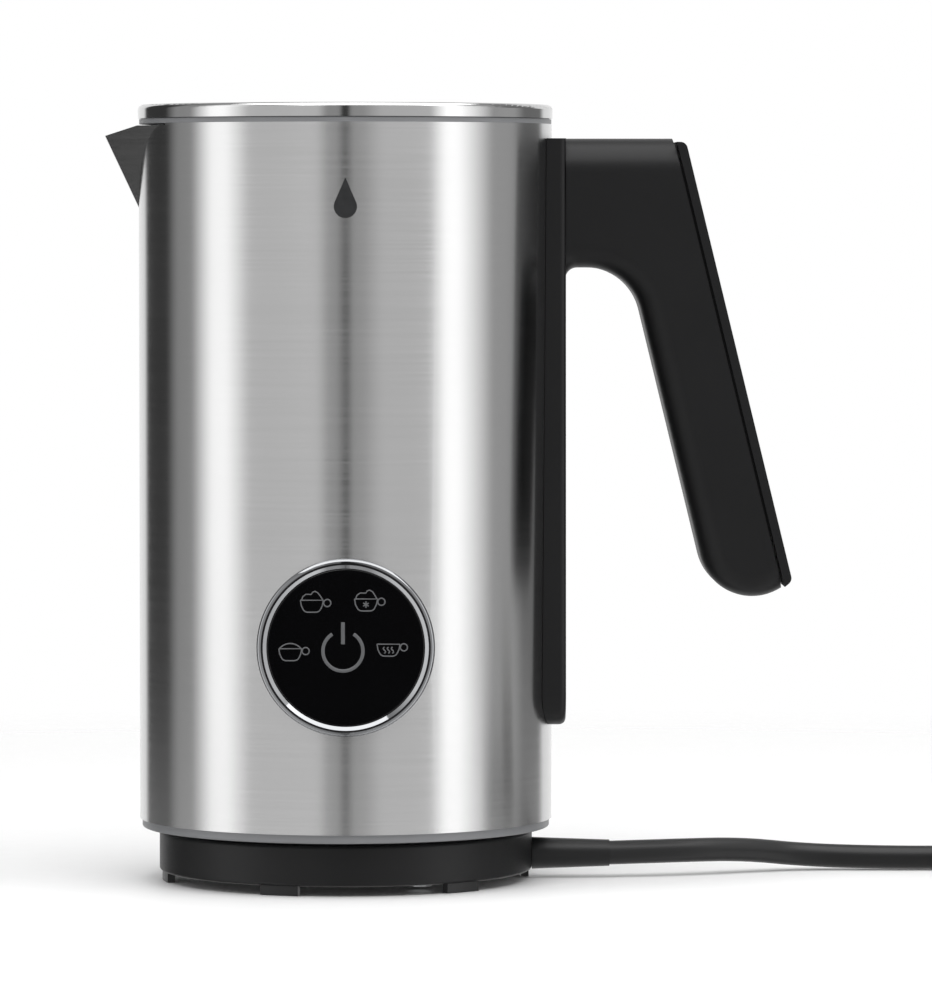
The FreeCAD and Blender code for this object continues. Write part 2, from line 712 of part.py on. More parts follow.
def make_lid():
    rim_inner = "window_radius + 0.2"
    rim = turned("lid_rim", [
        (rim_inner, "rim_bottom"), ("body_radius + rim_over", "rim_bottom"),
        ("body_radius + rim_over", "lid_top"), ("body_radius + rim_over - rim_width - 1.5", "lid_top"),
        ("body_radius + rim_over - rim_width - 1.5", "window_top"), (rim_inner, "window_top")])
    rounded(rim, "1.2", ring_at("body_radius + rim_over", "lid_top"))
    rounded(rim, "0.8", ring_at("body_radius + rim_over - rim_width - 1.5", "lid_top"))
    node("lid_rim", rim)
    carrier = turned("lid_carrier", [
        ("window_radius - 2", "seal_bottom"), ("cup_mouth - 3", "seal_bottom"), ("cup_mouth - 3",
            "flange_top"),
        ("body_radius - 0.1", "flange_top"), ("body_radius - 0.1", "carrier_top_face"),
        ("body_radius - 0.7", "carrier_top_face"), ("body_radius - 0.7", "rim_bottom"),
        (rim_inner, "rim_bottom"), (rim_inner, "window_bottom"), ("window_radius - 2", "window_bottom")])
    node("lid_carrier", carrier)
    window = turned("lid_window", [
        ("0", "window_bottom"), ("window_radius", "window_bottom"),
        ("window_radius", "window_top"), ("0", "window_top")])
    node("lid_window", window)
    lip = "cup_mouth - 0.4"
    root = "cup_mouth - 3 + gap"
    node("lid_seal", turned("lid_seal", [
        (root, "seal_bottom + 0.4"), (root + " + 0.9", "seal_bottom + 0.4"), (lip, "seal_bottom + 1.6"),
        (lip, "seal_bottom + 2.2"), (root + " + 1", "seal_bottom + 2.4"), (lip, "seal_bottom + 3.8"),
        (lip, "seal_bottom + 4.4"), (root + " + 1", "seal_bottom + 4.6"), (root + " + 1",
            "flange_top - 0.2"),
        (root, "flange_top - 0.2")]))


# ---- Drive, heater and board ---------------------------------------------------------------------
def make_drive():
    motor_screws = around(2, "8")
    can = turned("motor_can", [
        ("0", "motor_bottom - 1.2"), ("4", "motor_bottom - 1.2"), ("4", "motor_bottom"),
        ("motor_radius", "motor_bottom"), ("motor_radius", "motor_top"), ("4", "motor_top"),
        ("4", "motor_top - 9"), ("0", "motor_top - 9")])
    rounded(can, "1.5", ring_at("motor_radius", "motor_bottom"))
    rounded(can, "0.8", ring_at("motor_radius", "motor_top"))
    drill(can, motor_screws, "screw_radius + fit", "motor_top - 6", "motor_top + 1")
    node("motor_can", can)

    spacers = around(3, "spacer_circle", 60)
    bracket = turned("motor_bracket", [
        ("5.5", "motor_top"), ("bracket_radius", "motor_top"), ("bracket_radius", "bracket_top + 2"),
        ("bracket_radius - 0.8", "bracket_top + 2"), ("bracket_radius - 0.8", "bracket_top"),
        ("5.5", "bracket_top")])
    drill(bracket, motor_screws + spacers, "screw_radius + gap", "motor_top", "bracket_top")
    node("motor_bracket", bracket)
    screws("motor_screws", motor_screws, "bracket_top", "motor_top - 5")
    posts = []
    for k, (x, y) in enumerate(spacers):
        tube = cylinder("spacer_%d" % k, "3", "bracket_top", "heater_bottom", x, y)
        bore = cylinder("spacer_bore_%d" % k, "screw_radius + gap", "motor_top", "cup_floor", x, y)
        posts.append(cut("spacer_tube_%d" % k, tube, [bore]))
    node("bracket_spacers", fused("bracket_spacers", posts))
    screws("bracket_screws", spacers, "motor_top", "heater_bottom + 3")

    heater = turned("heater_plate", [
        ("heater_inner", "heater_bottom"), ("heater_outer", "heater_bottom"),
        ("heater_outer", "cup_floor"), ("heater_inner", "cup_floor")])
    drill(heater, spacers, "screw_radius + fit", "heater_bottom", "heater_bottom + 3.4")
    drill(heater, around(1, "spacer_circle", 0), "3.6", "heater_bottom", "cup_floor")
    node("heater_plate", heater)
    element_height = "heater_bottom - element_radius - fit"
    terminals = [cylinder("element_terminal_%d" % k, "1.1", element_height + " - 7", element_height, x, y)
                 for k, (x, y) in enumerate([("element_circle", "-6"), ("element_circle", "6")])]
    node("heater_element", fused("heater_element", [
        torus("element_ring", "element_circle", "element_radius", element_height)] + terminals))
    node("temperature_sensor", cylinder("temperature_sensor", "3.4", "heater_bottom - 3",
                                        "cup_floor", "spacer_circle"))
    node("thermal_cutout", cylinder("thermal_cutout", "4.4", "heater_bottom - 5", "heater_bottom",
                                    *around(1, "spacer_circle", 120)[0]))

    node("motor_shaft", cylinder("motor_shaft", "shaft_radius", "motor_top - 8.5", "carrier_top - 1"))
    carrier = turned("magnet_carrier", [
        ("shaft_radius + fit", "carrier_bottom"), ("carrier_radius", "carrier_bottom"),
        ("carrier_radius", "carrier_top"), ("shaft_radius + fit", "carrier_top")])
    drill(carrier, around(4, "magnet_circle", 45), "3 + fit", "carrier_magnet_bottom", "carrier_top + 1")
    node("magnet_carrier", carrier)
    node("drive_magnets", fused("drive_magnets", [
        cylinder("drive_magnet_%d" % k, "3", "carrier_magnet_bottom", "carrier_top - 0.2", x, y)
        for k, (x, y) in enumerate(around(4, "magnet_circle", 45))]))


def make_whisk():
    hub = turned("whisk_hub_turned", [
        ("pin_radius + 0.3", "hub_bottom"), ("hub_radius", "hub_bottom"),
        ("hub_radius", "hub_bottom + hub_thickness - 1"), ("hub_radius - 1", "hub_bottom + hub_thickness"),
        ("hub_neck", "hub_bottom + hub_thickness"), ("hub_neck", "hub_top"), ("0", "hub_top"),
        ("0", "pin_top + 0.5"), ("pin_radius + 0.3", "pin_top + 0.5")])
    rounded(hub, "1.4", ring_at("hub_neck", "hub_top"))
    drill(hub, around(4, "magnet_circle", 45), "2.5 + fit", "hub_bottom - 1", "hub_magnet_top")
    spoke_low = "hub_neck - 1"
    spokes = []
    slots = []
    for k in range(3):
        for made, name, radius, grow in ((spokes, "spoke", "0.7", "0"), (slots, "spoke_way",
            "0.7 + gap", "3")):
            rod = doc.addObject("Part::Cylinder", "%s_%d" % (name, k))
            start = spoke_low if made is spokes else "whisk_circle - coil_radius - 1"
            bind(rod, Radius=radius, Height="whisk_circle - (%s) + %s" % (start, grow))
            rod.Placement.Rotation = Rotation(Vector(0, 0, 1), 120 * k) * Rotation(Vector(0, 1, 0), 90)
            place(rod, "(%s) * cos(%g)" % (start, 120 * k), "(%s) * sin(%g)" % (start, 120 * k),
                  "whisk_height")
            made.append(rod)
    frame = fused("whisk_frame", spokes + [torus("whisk_wire", "whisk_circle", "0.8", "whisk_height")])
    node("whisk_frame", frame)
    holes = []
    for k in range(3):
        hole = doc.addObject("Part::Cylinder", "spoke_hole_%d" % k)
        bind(hole, Radius="0.7 + fit", Height="hub_neck")
        hole.Placement.Rotation = Rotation(Vector(0, 0, 1), 120 * k) * Rotation(Vector(0, 1, 0), 90)
        place(hole, "(%s) * cos(%g)" % (spoke_low, 120 * k), "(%s) * sin(%g)" % (spoke_low,
            120 * k), "whisk_height")
        holes.append(hole)
    node("whisk_hub", cut("whisk_hub", hub, holes))
    tube = torus("coil_outside", "whisk_circle", "coil_radius", "whisk_height")
    inside = torus("coil_inside", "whisk_circle", "coil_radius - 0.9", "whisk_height")
    node("whisk_coil", cut("whisk_coil", tube, [inside] + slots))
    node("whisk_magnets", fused("whisk_magnets", [
        cylinder("whisk_magnet_%d" % k, "2.5", "hub_bottom + 0.4", "hub_magnet_top", x, y)
        for k, (x, y) in enumerate(around(4, "magnet_circle", 45))]))


def make_board():
    board = turned("power_board", [
        ("0", "board_height"), ("board_radius", "board_height"), ("board_radius",
                                                                  "board_top"), ("0", "board_top")])
    drill(board, around(3, "boss_circle"), "screw_radius + gap", "board_height", "board_top")
    node("power_board", board)
    screws("board_screws", around(3, "boss_circle"), "board_top", "board_height - 6")
    parts = [
        block("relay", ("-30", "-14"), ("19", "32"), ("board_top", "board_top + 14")),
        block("transformer", ("-8", "12"), ("20", "38"), ("board_top", "board_top + 15")),
        cylinder("capacitor_tall", "5", "board_top", "board_top + 18", "21", "24"),
        cylinder("capacitor_low", "3.5", "board_top", "board_top + 11", "30", "16"),
        block("choke", ("-30", "-20"), ("2", "14"), ("board_top", "board_top + 9")),
        block("terminal_block", ("22", "32"), ("-14", "2"), ("board_top", "board_top + 8"))]
    node("board_components", fused("board_components", parts))


# ---- Touch panel: turned about Z, then laid so that Z points to -Y --------------------------------
def facing_front(thing):
    return place(thing, z="panel_height", axis=(1, 0, 0), angle=90)


def make_panel():
    sleeve = turned("bezel_turned", [
        ("bezel_bore", "clamp_back - 0.2"), ("bezel_sleeve", "clamp_back - 0.2"), ("bezel_sleeve",
            "body_radius - 12"),
        ("bezel_radius", "body_radius - 12"), ("bezel_radius", "bezel_face"), ("bezel_bore + 0.9",
            "bezel_face"),
        ("bezel_bore", "bezel_face - 0.7")])
    rounded(sleeve, "1.1", ring_at("bezel_radius", "bezel_face"))
    # The collar outside the sleeve is cut to the jug's curve, so that it sits on the shell all round
    jug = cylinder("jug_curve", "body_radius + fit", "0", "rim_height")
    way = facing_front(turned("sleeve_way", [
        ("0", "0"), ("bezel_sleeve", "0"), ("bezel_sleeve", "2 * body_radius"), ("0", "2 * body_radius")]))
    node("panel_bezel", cut("panel_bezel", facing_front(sleeve), [cut("jug_outside_sleeve", jug, [way])]))
    glass = turned("panel_glass", [
        ("0", "glass_back"), ("glass_radius", "glass_back"), ("glass_radius", "panel_face"), ("0",
            "panel_face")])
    rounded(glass, "0.3", ring_at("glass_radius", "panel_face"))
    node("panel_glass", facing_front(glass))
    step = "glass_radius - 1.2"
    node("panel_housing", facing_front(turned("panel_housing", [
        ("0", "panel_back"), ("glass_radius", "panel_back"), ("glass_radius", "glass_back"),
        (step, "glass_back"), (step, "panel_back + 3.4"), (step + " - 2", "panel_back + 3.4"),
        (step + " - 2", "panel_back + 1.2"), ("0", "panel_back + 1.2")])))
    node("panel_clamp", facing_front(turned("panel_clamp", [
        ("bezel_sleeve + fit", "clamp_back"), ("clamp_radius", "clamp_back"),
        ("clamp_radius", "clamp_face"), ("bezel_sleeve + fit", "clamp_face")])))
    node("display_board", facing_front(turned("display_board", [
        ("0", "panel_back + 3.4"), (step + " - gap", "panel_back + 3.4"),
        (step + " - gap", "panel_back + 5"), ("0", "panel_back + 5")])))
    lamps = [cylinder("display_led_%d" % k, "1.5", "panel_back + 5", "panel_back + 7", x, y)
             for k, (x, y) in enumerate(around(4, "11", 20) + [("0", "0")])]
    node("display_leds", facing_front(fused("display_leds", lamps)))


# ---- Handle --------------------------------------------------------------------------------------
def leg_x(depth, height):
    """X at a depth under the leg's outer face, at a height."""
    return "handle_top_x - (%s) / cos(lean) + (arm_top - (%s)) * tan(lean)" % (depth, height)


def end_point(depth):
    """Where the round lower end meets the line at a depth under the leg's outer face."""
    across = "(leg_thickness - end_radius - (%s))" % depth
    along = "sqrt(end_radius^2 - %s^2)" % across
    end_x = leg_x("leg_thickness - end_radius", "end_z")
    return (end_x + " + %s * cos(lean) + %s * sin(lean)" % (across, along),
            "end_z + %s * sin(lean) - %s * cos(lean)" % (across, along))


def leg_strip(near, far, top, bottom):
    """A strip along the leg between two depths and two heights."""
    return [(leg_x(near, top), top), (leg_x(far, top), top), (leg_x(far, bottom), bottom),
            (leg_x(near, bottom), bottom)]


def make_handle():
    corner = leg_x("leg_thickness", "arm_bottom")
    end_x = leg_x("leg_thickness - end_radius", "end_z")
    low_x, low_z = end_point("body_depth")
    handle = slab("handle_solid", [
        ("strip_x", "arm_bottom - arm_flare"), ("strip_x + arm_flare", "arm_bottom", "arm_flare"),
        (corner + " - bend_tangent", "arm_bottom"),
        (corner + " + bend_tangent * sin(lean)", "arm_bottom - bend_tangent * cos(lean)", "bend_radius"),
        (end_x + " - end_radius * cos(lean)", "end_z - end_radius * sin(lean)"),
        (low_x, low_z, "-end_radius"), (leg_x("body_depth", "arm_top"), "arm_top"), ("strip_x", "arm_top")],
        "handle_width")
    half, strip, top = value("handle_width / 2"), value("strip_x"), value("arm_top")
    outer = value(leg_x("body_depth", "arm_bottom"))
    slope = value("tan(lean)")

    def on_outer_face(edge):
        middle = edge.CenterOfMass
        return abs(middle.x - outer - (value("arm_bottom") - middle.z) * slope) < 0.05

    def side_edge(edge):
        return abs(abs(edge.CenterOfMass.y) - half) < 0.01 and edge.BoundBox.YLength < 0.01

    rounded(handle, "arm_round", lambda e: side_edge(e) and abs(e.CenterOfMass.z - top) < 0.01)
    rounded(handle, "grip_round", lambda e: side_edge(e) and abs(e.CenterOfMass.x - strip) > 0.01
            and not on_outer_face(e))
    hollow = sketch(handle)
    outline(hollow, leg_strip("0", "cavity_depth", "cavity_top", "cavity_bottom"))
    pocket(handle, hollow, "2 * cavity_half", middle=True)
    ways = []
    for k, height in enumerate(("handle_screw_top", "handle_screw_low")):
        ways.append(level_cylinder("handle_screw_way_%d" % k, "screw_radius + gap + 0.05", "strip_x - 1",
                                   "handle_screw_seat + 1", z=height))
        ways.append(level_cylinder("handle_counterbore_%d" % k, "screw_head + gap + 0.2",
                                   "handle_screw_seat",
                                   leg_x("cavity_depth", height) + " + 2", z=height))
    node("handle_body", cut("handle_body", handle, ways))

    rim_x, rim_z = end_point("0")
    seat_x, seat_z = end_point("cover_thickness")
    cover = slab("handle_cover", [
        (leg_x("cover_thickness", "cover_head"), "cover_head"), (leg_x("0", "cover_head"), "cover_head"),
        (rim_x, rim_z), (seat_x, seat_z, "end_radius")], "handle_width")
    along_y = value("handle_width") - 0.1
    rounded(cover, "1.9", lambda e: e.BoundBox.YLength > along_y and (
        abs(e.CenterOfMass.x - value(rim_x)) < 0.01
        or abs(e.CenterOfMass.x - value(leg_x("0", "cover_head"))) < 0.01))
    add_slab(cover, leg_strip("cover_thickness - 0.5", "body_depth", "cavity_top", "cavity_bottom"),
             "2 * cavity_half + 3")
    for height in ("arm_bottom", "(arm_bottom + end_z) / 2", "cavity_bottom + 6"):
        add_slab(cover, leg_strip("cover_thickness", "body_depth + 4.5", height, height + " - 3"),
                 "2 * cavity_half - 2 * gap")
    node("handle_cover", cover)


def make_strip():
    """The strip down the jug's back that carries the handle, its bracket and its screws."""
    strip = slab("strip_solid", [
        ("-strip_foot_half", "strip_bottom"), ("strip_foot_half", "strip_bottom"),
        ("strip_top_half", "arm_top"), ("-strip_top_half", "arm_top")],
        "strip_x", role="YZ_Plane", middle=False)
    rounded(strip, "8",
            lambda e: e.BoundBox.XLength > 1 and abs(e.CenterOfMass.z - value("strip_bottom")) < 0.01)
    rounded(strip, "1.6", lambda e: abs(e.CenterOfMass.x - value("strip_x")) < 0.01
            and e.CenterOfMass.z < value("arm_top") - 0.1)
    jug = cylinder("jug_under_strip", "body_radius + fit", "0", "lid_top")
    back, half = "body_radius + 2.3", "8"
    low, high = "handle_screw_low - 7", "handle_screw_top + 6"
    pocket_box = block("bracket_pocket", ("body_radius - 3", back + " + fit"), ("-%s - gap" % half,
        "%s + gap" % half),
                       (low + " - gap", high + " + gap"))
    ways = [level_cylinder("strip_screw_way_%d" % k, "screw_radius + gap + 0.05", "body_radius",
                           "strip_x + 1", z=h)
            for k, h in enumerate(("handle_screw_top", "handle_screw_low"))]
    thread = level_cylinder("strip_thread", "screw_radius + fit", "body_radius - 1", "strip_x - 0.8",
                            z="strip_screw_height")
    node("back_strip", cut("back_strip", strip, [jug, pocket_box, thread] + ways))

    plate = block("bracket_block", ("body_radius - 3", back), ("-" + half, half), (low, high))
    threads = [level_cylinder("bracket_thread_%d" % k, "screw_radius + fit", "body_radius - 4",
                              "strip_x", z=h)
               for k, h in enumerate(("handle_screw_top", "handle_screw_low"))]
    curve = cylinder("jug_under_bracket", "body_radius + fit", "0", "lid_top")
    node("handle_bracket", cut("handle_bracket", plate, [curve] + threads))
    pieces = []
    for k, height in enumerate(("handle_screw_top", "handle_screw_low")):
        pieces.append(level_cylinder("handle_screw_head_%d" % k, "screw_head", "handle_screw_seat",
                                     "handle_screw_seat + 2", z=height))
        pieces.append(level_cylinder("handle_screw_shank_%d" % k, "screw_radius", "body_radius + 0.4",
                                     "handle_screw_seat", z=height))
    node("handle_screws", fused("handle_screws", pieces))
    inside = "sqrt(shell_inner^2 - screw_head^2) - fit"
    node("strip_screw", fused("strip_screw", [
        level_cylinder("strip_screw_head", "screw_head", inside + " - screw_head_height", inside,
                       z="strip_screw_height"),
        level_cylinder("strip_screw_shank", "screw_radius", inside, "strip_x - 1", z="strip_screw_height")]))


# ---- Mains cord ----------------------------------------------------------------------------------
def cord_path(points):
    """Straight runs joined by tangent arcs, each as large as its two runs allow."""
    edges = []
    start = points[0]
    for before, corner, after in zip(points, points[1:], points[2:]):
        back, ahead = before - corner, after - corner
        reach = 0.45 * min(back.Length, ahead.Length)
        back.normalize()
        ahead.normalize()
        turn = math.pi - back.getAngle(ahead)
        radius = reach / math.tan(turn / 2)
        inner = (back + ahead).normalize()
        middle = corner + inner * (radius / math.cos(turn / 2) - radius)
        print("cord bend: turn %.1f degrees, radius %.1f" % (math.degrees(turn), radius))
        edges.append(Part.LineSegment(start, corner + back * reach).toShape())
        edges.append(Part.Arc(corner + back * reach, middle, corner + ahead * reach).toShape())
        start = corner + ahead * reach
    edges.append(Part.LineSegment(start, points[-1]).toShape())
    return Part.Wire(edges)


def make_cord():
    points = [Vector(*p) for p in [CORD_START] + CORD_BENDS + [CORD_END]]
    path = cord_path(points)
    radius = value("cord_radius")
    section = Part.Wire(Part.Circle(points[0], points[1] - points[0], radius).toShape())
    tube = path.makePipeShell([section], True, True)
    whole = math.pi * radius ** 2 * path.Length
    print("cord tube: %.1f long, volume %.0f of %.0f" % (path.Length, tube.Volume, whole))
    if abs(tube.Volume / whole - 1) > 0.01:
        raise RuntimeError("the cord's tube isn't its section times its length")
    cord = doc.addObject("Part::Feature", "cord_tube")
    cord.Shape = tube
    cord.Placement = FreeCAD.Placement()
    relief = doc.addObject("Part::Cone", "relief_taper")
    bind(relief, Radius1="cord_radius + 1", Radius2="cord_radius + 0.3", Height="relief_length")
    place(relief, "base_radius", "0", "cord_height", (0, 1, 0), 90)
    wall = "base_radius - base_wall - 0.6"
    neck = level_cylinder("relief_neck", "cord_radius + 0.5", wall, "base_radius", z="cord_height")
    flange = block("relief_flange", (wall + " - 2", wall), ("-6", "6"), ("plate_top + 0.2",
        "base_top_under - 0.2"))
    node("strain_relief", fused("strain_relief", [relief, neck, flange]))
    node("mains_cord", cut("mains_cord", cord, [relief]))
    leads = [level_cylinder("base_lead_%d" % k, "1.1", "socket_hole - 2", wall + " - 2", y,
                            "(plate_top + base_top_under) / 2 - 1.2")
             for k, y in enumerate(("-2.6", "0", "2.6"))]
    node("base_leads", fused("base_leads", leads))


def make_coil():
    """The cord's rest, wound in three turns: two side by side and one in the dip on top of them."""
    low, high = "coil_lift", "coil_high + cord_radius"
    inner, outer = "coil_inner_turn - cord_radius", "coil_outer_turn + cord_radius"
    top_inner, top_outer = "coil_top_turn - cord_radius", "coil_top_turn + cord_radius"
    bundle = [(inner, low), (outer, low), (outer, "coil_low + cord_radius / 2"), (top_outer, high),
              (top_inner, high), (inner, "coil_low + cord_radius / 2")]
    ring = place(turned("coil_ring", bundle), "coil_x", "coil_y")
    # The leads are a touch thinner than the cord, so that they end inside the ring and not on its skin
    lead = "cord_radius - 0.1"
    lead_in = level_cylinder("coil_lead_in", lead, "route_end_x", "coil_x", "route_end_y", "route_end_z")
    lead_out = level_cylinder("coil_lead_out", lead, "coil_x", "plug_start", "plug_y", "coil_high")
    node("cord_coil", fused("cord_coil", [ring, lead_in, lead_out]))
    skin = "0.7"
    tie_outer = [(inner + " - " + skin, low + " - " + skin), (outer + " + " + skin, low + " - " + skin),
                 (outer + " + " + skin, "coil_low + cord_radius / 2 + 0.3"), (top_outer + " + 0.4",
                     high + " + " + skin),
                 (top_inner + " - 0.4", high + " + " + skin), (inner + " - " + skin,
                                                               "coil_low + cord_radius / 2 + 0.3")]
    strap = turned("tie_strap", tie_outer, angle="16")
    core = turned("tie_core", bundle)
    node("cord_tie", place(cut("cord_tie", strap, [core]), "coil_x", "coil_y", axis=(0, 0, 1), angle=-90))


def make_plug():
    """An angled two-pin plug with side earth contacts, lying on its back."""
    side = "plug_radius - 2.2"
    shell = place(turned("plug_shell", [
        ("0", "0"), ("plug_radius - 4", "0"), ("plug_radius", "6", "-12"), ("plug_radius", "plug_height"),
        ("0", "plug_height")]), "plug_x", "plug_y")
    collar = doc.addObject("Part::Cone", "plug_collar_cone")
    bind(collar, Radius1="cord_radius + 0.8", Radius2="coil_high - 1.2", Height="plug_collar + 6")
    place(collar, "plug_start", "plug_y", "coil_high", (0, 1, 0), 90)
    recesses = []
    clips = []
    for k, (low, high) in enumerate((("side", "plug_radius + 1"), ("-plug_radius - 1", "-side"))):
        low, high = low.replace("side", "(%s)" % side), high.replace("side", "(%s)" % side)
        recesses.append(block("earth_recess_%d" % k, ("plug_x - 4", "plug_x + 4"),
                              ("plug_y + " + low, "plug_y + " + high), ("plug_height - 16",
                                  "plug_height + 1")))
        low = "(%s) + fit" % side if k == 0 else "-(%s) - 1.2" % side
        clips.append(block("earth_clip_%d" % k, ("plug_x - 3.4", "plug_x + 3.4"),
                           ("plug_y + " + low, "plug_y + " + low + " + 1.15"),
                           ("plug_height - 15.5", "plug_height - 0.4")))
    earth_hole = cylinder("earth_hole", "2.6", "plug_height - 15", "plug_height + 1", "plug_x + 10",
                          "plug_y")
    pin_places = [("plug_x", "plug_y - pin_spacing / 2"), ("plug_x", "plug_y + pin_spacing / 2")]
    root = "plug_pin_radius - pin_neck"
    seats = [cylinder("pin_seat_%d" % k, root + " + fit", "plug_height - pin_root", "plug_height + 1", x, y)
             for k, (x, y) in enumerate(pin_places)]
    node("plug_body", cut("plug_body", fused("plug_solid", [shell, collar]),
                          recesses + seats + [earth_hole]))
    pins = []
    for k, (x, y) in enumerate(pin_places):
        neck = cylinder("pin_root_%d" % k, root, "plug_height - pin_root",
                        "plug_height + pin_shoulder", x, y)
        shank = cylinder("plug_pin_%d" % k, "plug_pin_radius", "plug_height + pin_shoulder",
                         "plug_height + plug_pin_length", x, y)
        pins.append(fused("plug_pin_whole_%d" % k, [neck, shank]))
    node("plug_pins", fused("plug_pins", pins))
    node("plug_earth_clips", fused("plug_earth_clips", clips))


make_base()
make_connector()
make_shell_and_cup()
make_bottom_ring()
make_lid()
make_drive()
make_whisk()
make_board()
make_panel()
make_handle()
make_strip()
make_cord()
make_coil()
make_plug()
doc.recompute()

for thing in doc.Objects:
    if "Invalid" in thing.State or "Error" in thing.State:
        raise RuntimeError("%s failed: %s" % (thing.Name, thing.State))
os.makedirs("parts", exist_ok=True)
for thing in nodes:
    if thing.Shape.isNull() or not thing.Shape.isValid():
        raise RuntimeError(thing.Label + " has no valid shape")
    thing.Shape.exportStep("parts/%s.step" % thing.Label)
print("%d sub-parts written" % len(nodes))
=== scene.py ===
# %% [markdown]
# # A milk frother: brushed steel jug, black handle and base
# The solids come from the CAD model. This lesson gives them a camera, light and real
# finishes, and replaces the few pieces that a CAD solid can only stand in for: the mains
# cord with its coil, and the whisk's spring.

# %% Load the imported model
import json
import math

import bmesh
import bpy
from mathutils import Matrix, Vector


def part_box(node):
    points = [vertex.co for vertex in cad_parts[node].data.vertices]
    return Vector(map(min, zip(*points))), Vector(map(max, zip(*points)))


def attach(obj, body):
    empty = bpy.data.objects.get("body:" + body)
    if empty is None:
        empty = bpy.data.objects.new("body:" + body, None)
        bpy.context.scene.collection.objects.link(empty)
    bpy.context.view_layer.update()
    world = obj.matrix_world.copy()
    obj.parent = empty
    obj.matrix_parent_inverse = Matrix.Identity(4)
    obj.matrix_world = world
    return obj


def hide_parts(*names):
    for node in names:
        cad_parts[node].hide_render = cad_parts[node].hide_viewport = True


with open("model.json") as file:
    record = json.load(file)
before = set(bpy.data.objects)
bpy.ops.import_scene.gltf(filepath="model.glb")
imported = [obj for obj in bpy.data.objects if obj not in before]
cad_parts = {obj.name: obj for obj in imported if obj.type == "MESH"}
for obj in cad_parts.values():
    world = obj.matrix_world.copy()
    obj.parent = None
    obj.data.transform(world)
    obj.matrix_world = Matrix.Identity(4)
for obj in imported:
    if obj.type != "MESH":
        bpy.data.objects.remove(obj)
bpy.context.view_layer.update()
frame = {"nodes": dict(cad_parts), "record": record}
nodes = frame["nodes"]
scene = bpy.context.scene
MM = 0.001
print("pieces in the frame:", len(nodes))

# %% [markdown]
# ## Camera
# A product picture is taken with a long lens, so that the jug's sides stay parallel, and
# from a little below the lid's height. The camera is aimed down at the middle of the view
# instead of being shifted, which keeps the other views straight as well.

# %% Camera
CAMERA_DISTANCE = 1.6695
CAMERA_HEIGHT = 0.1713
AIM = Vector((0.0310, 0.0, 0.0975))
VIEW_HEIGHT = 0.25728
SENSOR_MM = 36.0

camera = bpy.data.objects.new("camera", bpy.data.cameras.new("camera"))
scene.collection.objects.link(camera)
camera.location = (0, -CAMERA_DISTANCE, CAMERA_HEIGHT)
camera.rotation_euler = (AIM - camera.location).to_track_quat("-Z", "Y").to_euler()
camera.data.sensor_width = SENSOR_MM
camera.data.lens = SENSOR_MM * CAMERA_DISTANCE / VIEW_HEIGHT
scene.camera = camera
print("lens: %.1f mm" % camera.data.lens)

# %% [markdown]
# ## Colours and nodes
# Colours are written as the screen shows them, in hex, and a shader needs them linear, so
# one function turns them. Another adds a node with its settings and its links. A third
# starts a material, whose patterns all read the piece's own coordinates, in metres.

# %% Helpers for materials


def linear(hex_colour):
    """A screen colour such as "C8C4BE" as the linear RGBA that a shader reads."""
    channels = [int(hex_colour[i:i + 2], 16) / 255 for i in (0, 2, 4)]
    lit = [c / 12.92 if c <= 0.04045 else ((c + 0.055) / 1.055) ** 2.4 for c in channels]
    return (*lit, 1.0)


def per_metre(spacing_mm):
    """How often a pattern repeats in a metre when its blotches are that far apart."""
    return 1 / (spacing_mm * MM)


def add(tree, kind, settings=None, links=None):
    """One node: settings are its properties and socket values, links its sources."""
    made = tree.nodes.new(kind)
    for name, setting in (settings or {}).items():
        if isinstance(name, str) and hasattr(made, name):
            setattr(made, name, setting)
        else:
            made.inputs[name].default_value = setting
    for name, source in (links or {}).items():
        tree.links.new(source, made.inputs[name])
    return made


def start_material(name, **surface):
    """A material with a Principled shader, and the coordinates that its patterns read."""
    material = bpy.data.materials.new(name)
    material.use_nodes = True
    tree = material.node_tree
    tree.nodes.clear()
    shader = add(tree, "ShaderNodeBsdfPrincipled", surface)
    add(tree, "ShaderNodeOutputMaterial", links={"Surface": shader.outputs[0]})
    place = add(tree, "ShaderNodeTexCoord").outputs["Object"]
    return material, tree, shader, place


FINISHES = {}
print("mid grey on the screen is %.3f in the shader" % linear("808080")[0])

# %% [markdown]
# ## One unevenness for most surfaces
# No real surface has one colour and one roughness. Nearly every finish here drifts between
# two close shades in patches, and its roughness and relief follow a grain, which may be
# finer than the patches. Most of the noise lies between 0.3 and 0.7, so that range is what
# is stretched over the two roughnesses.

# %% Uneven finish
NOISE_LOW, NOISE_HIGH = 0.3, 0.7
FINE_DETAIL = 3.0
SOFT_DETAIL = 2.0


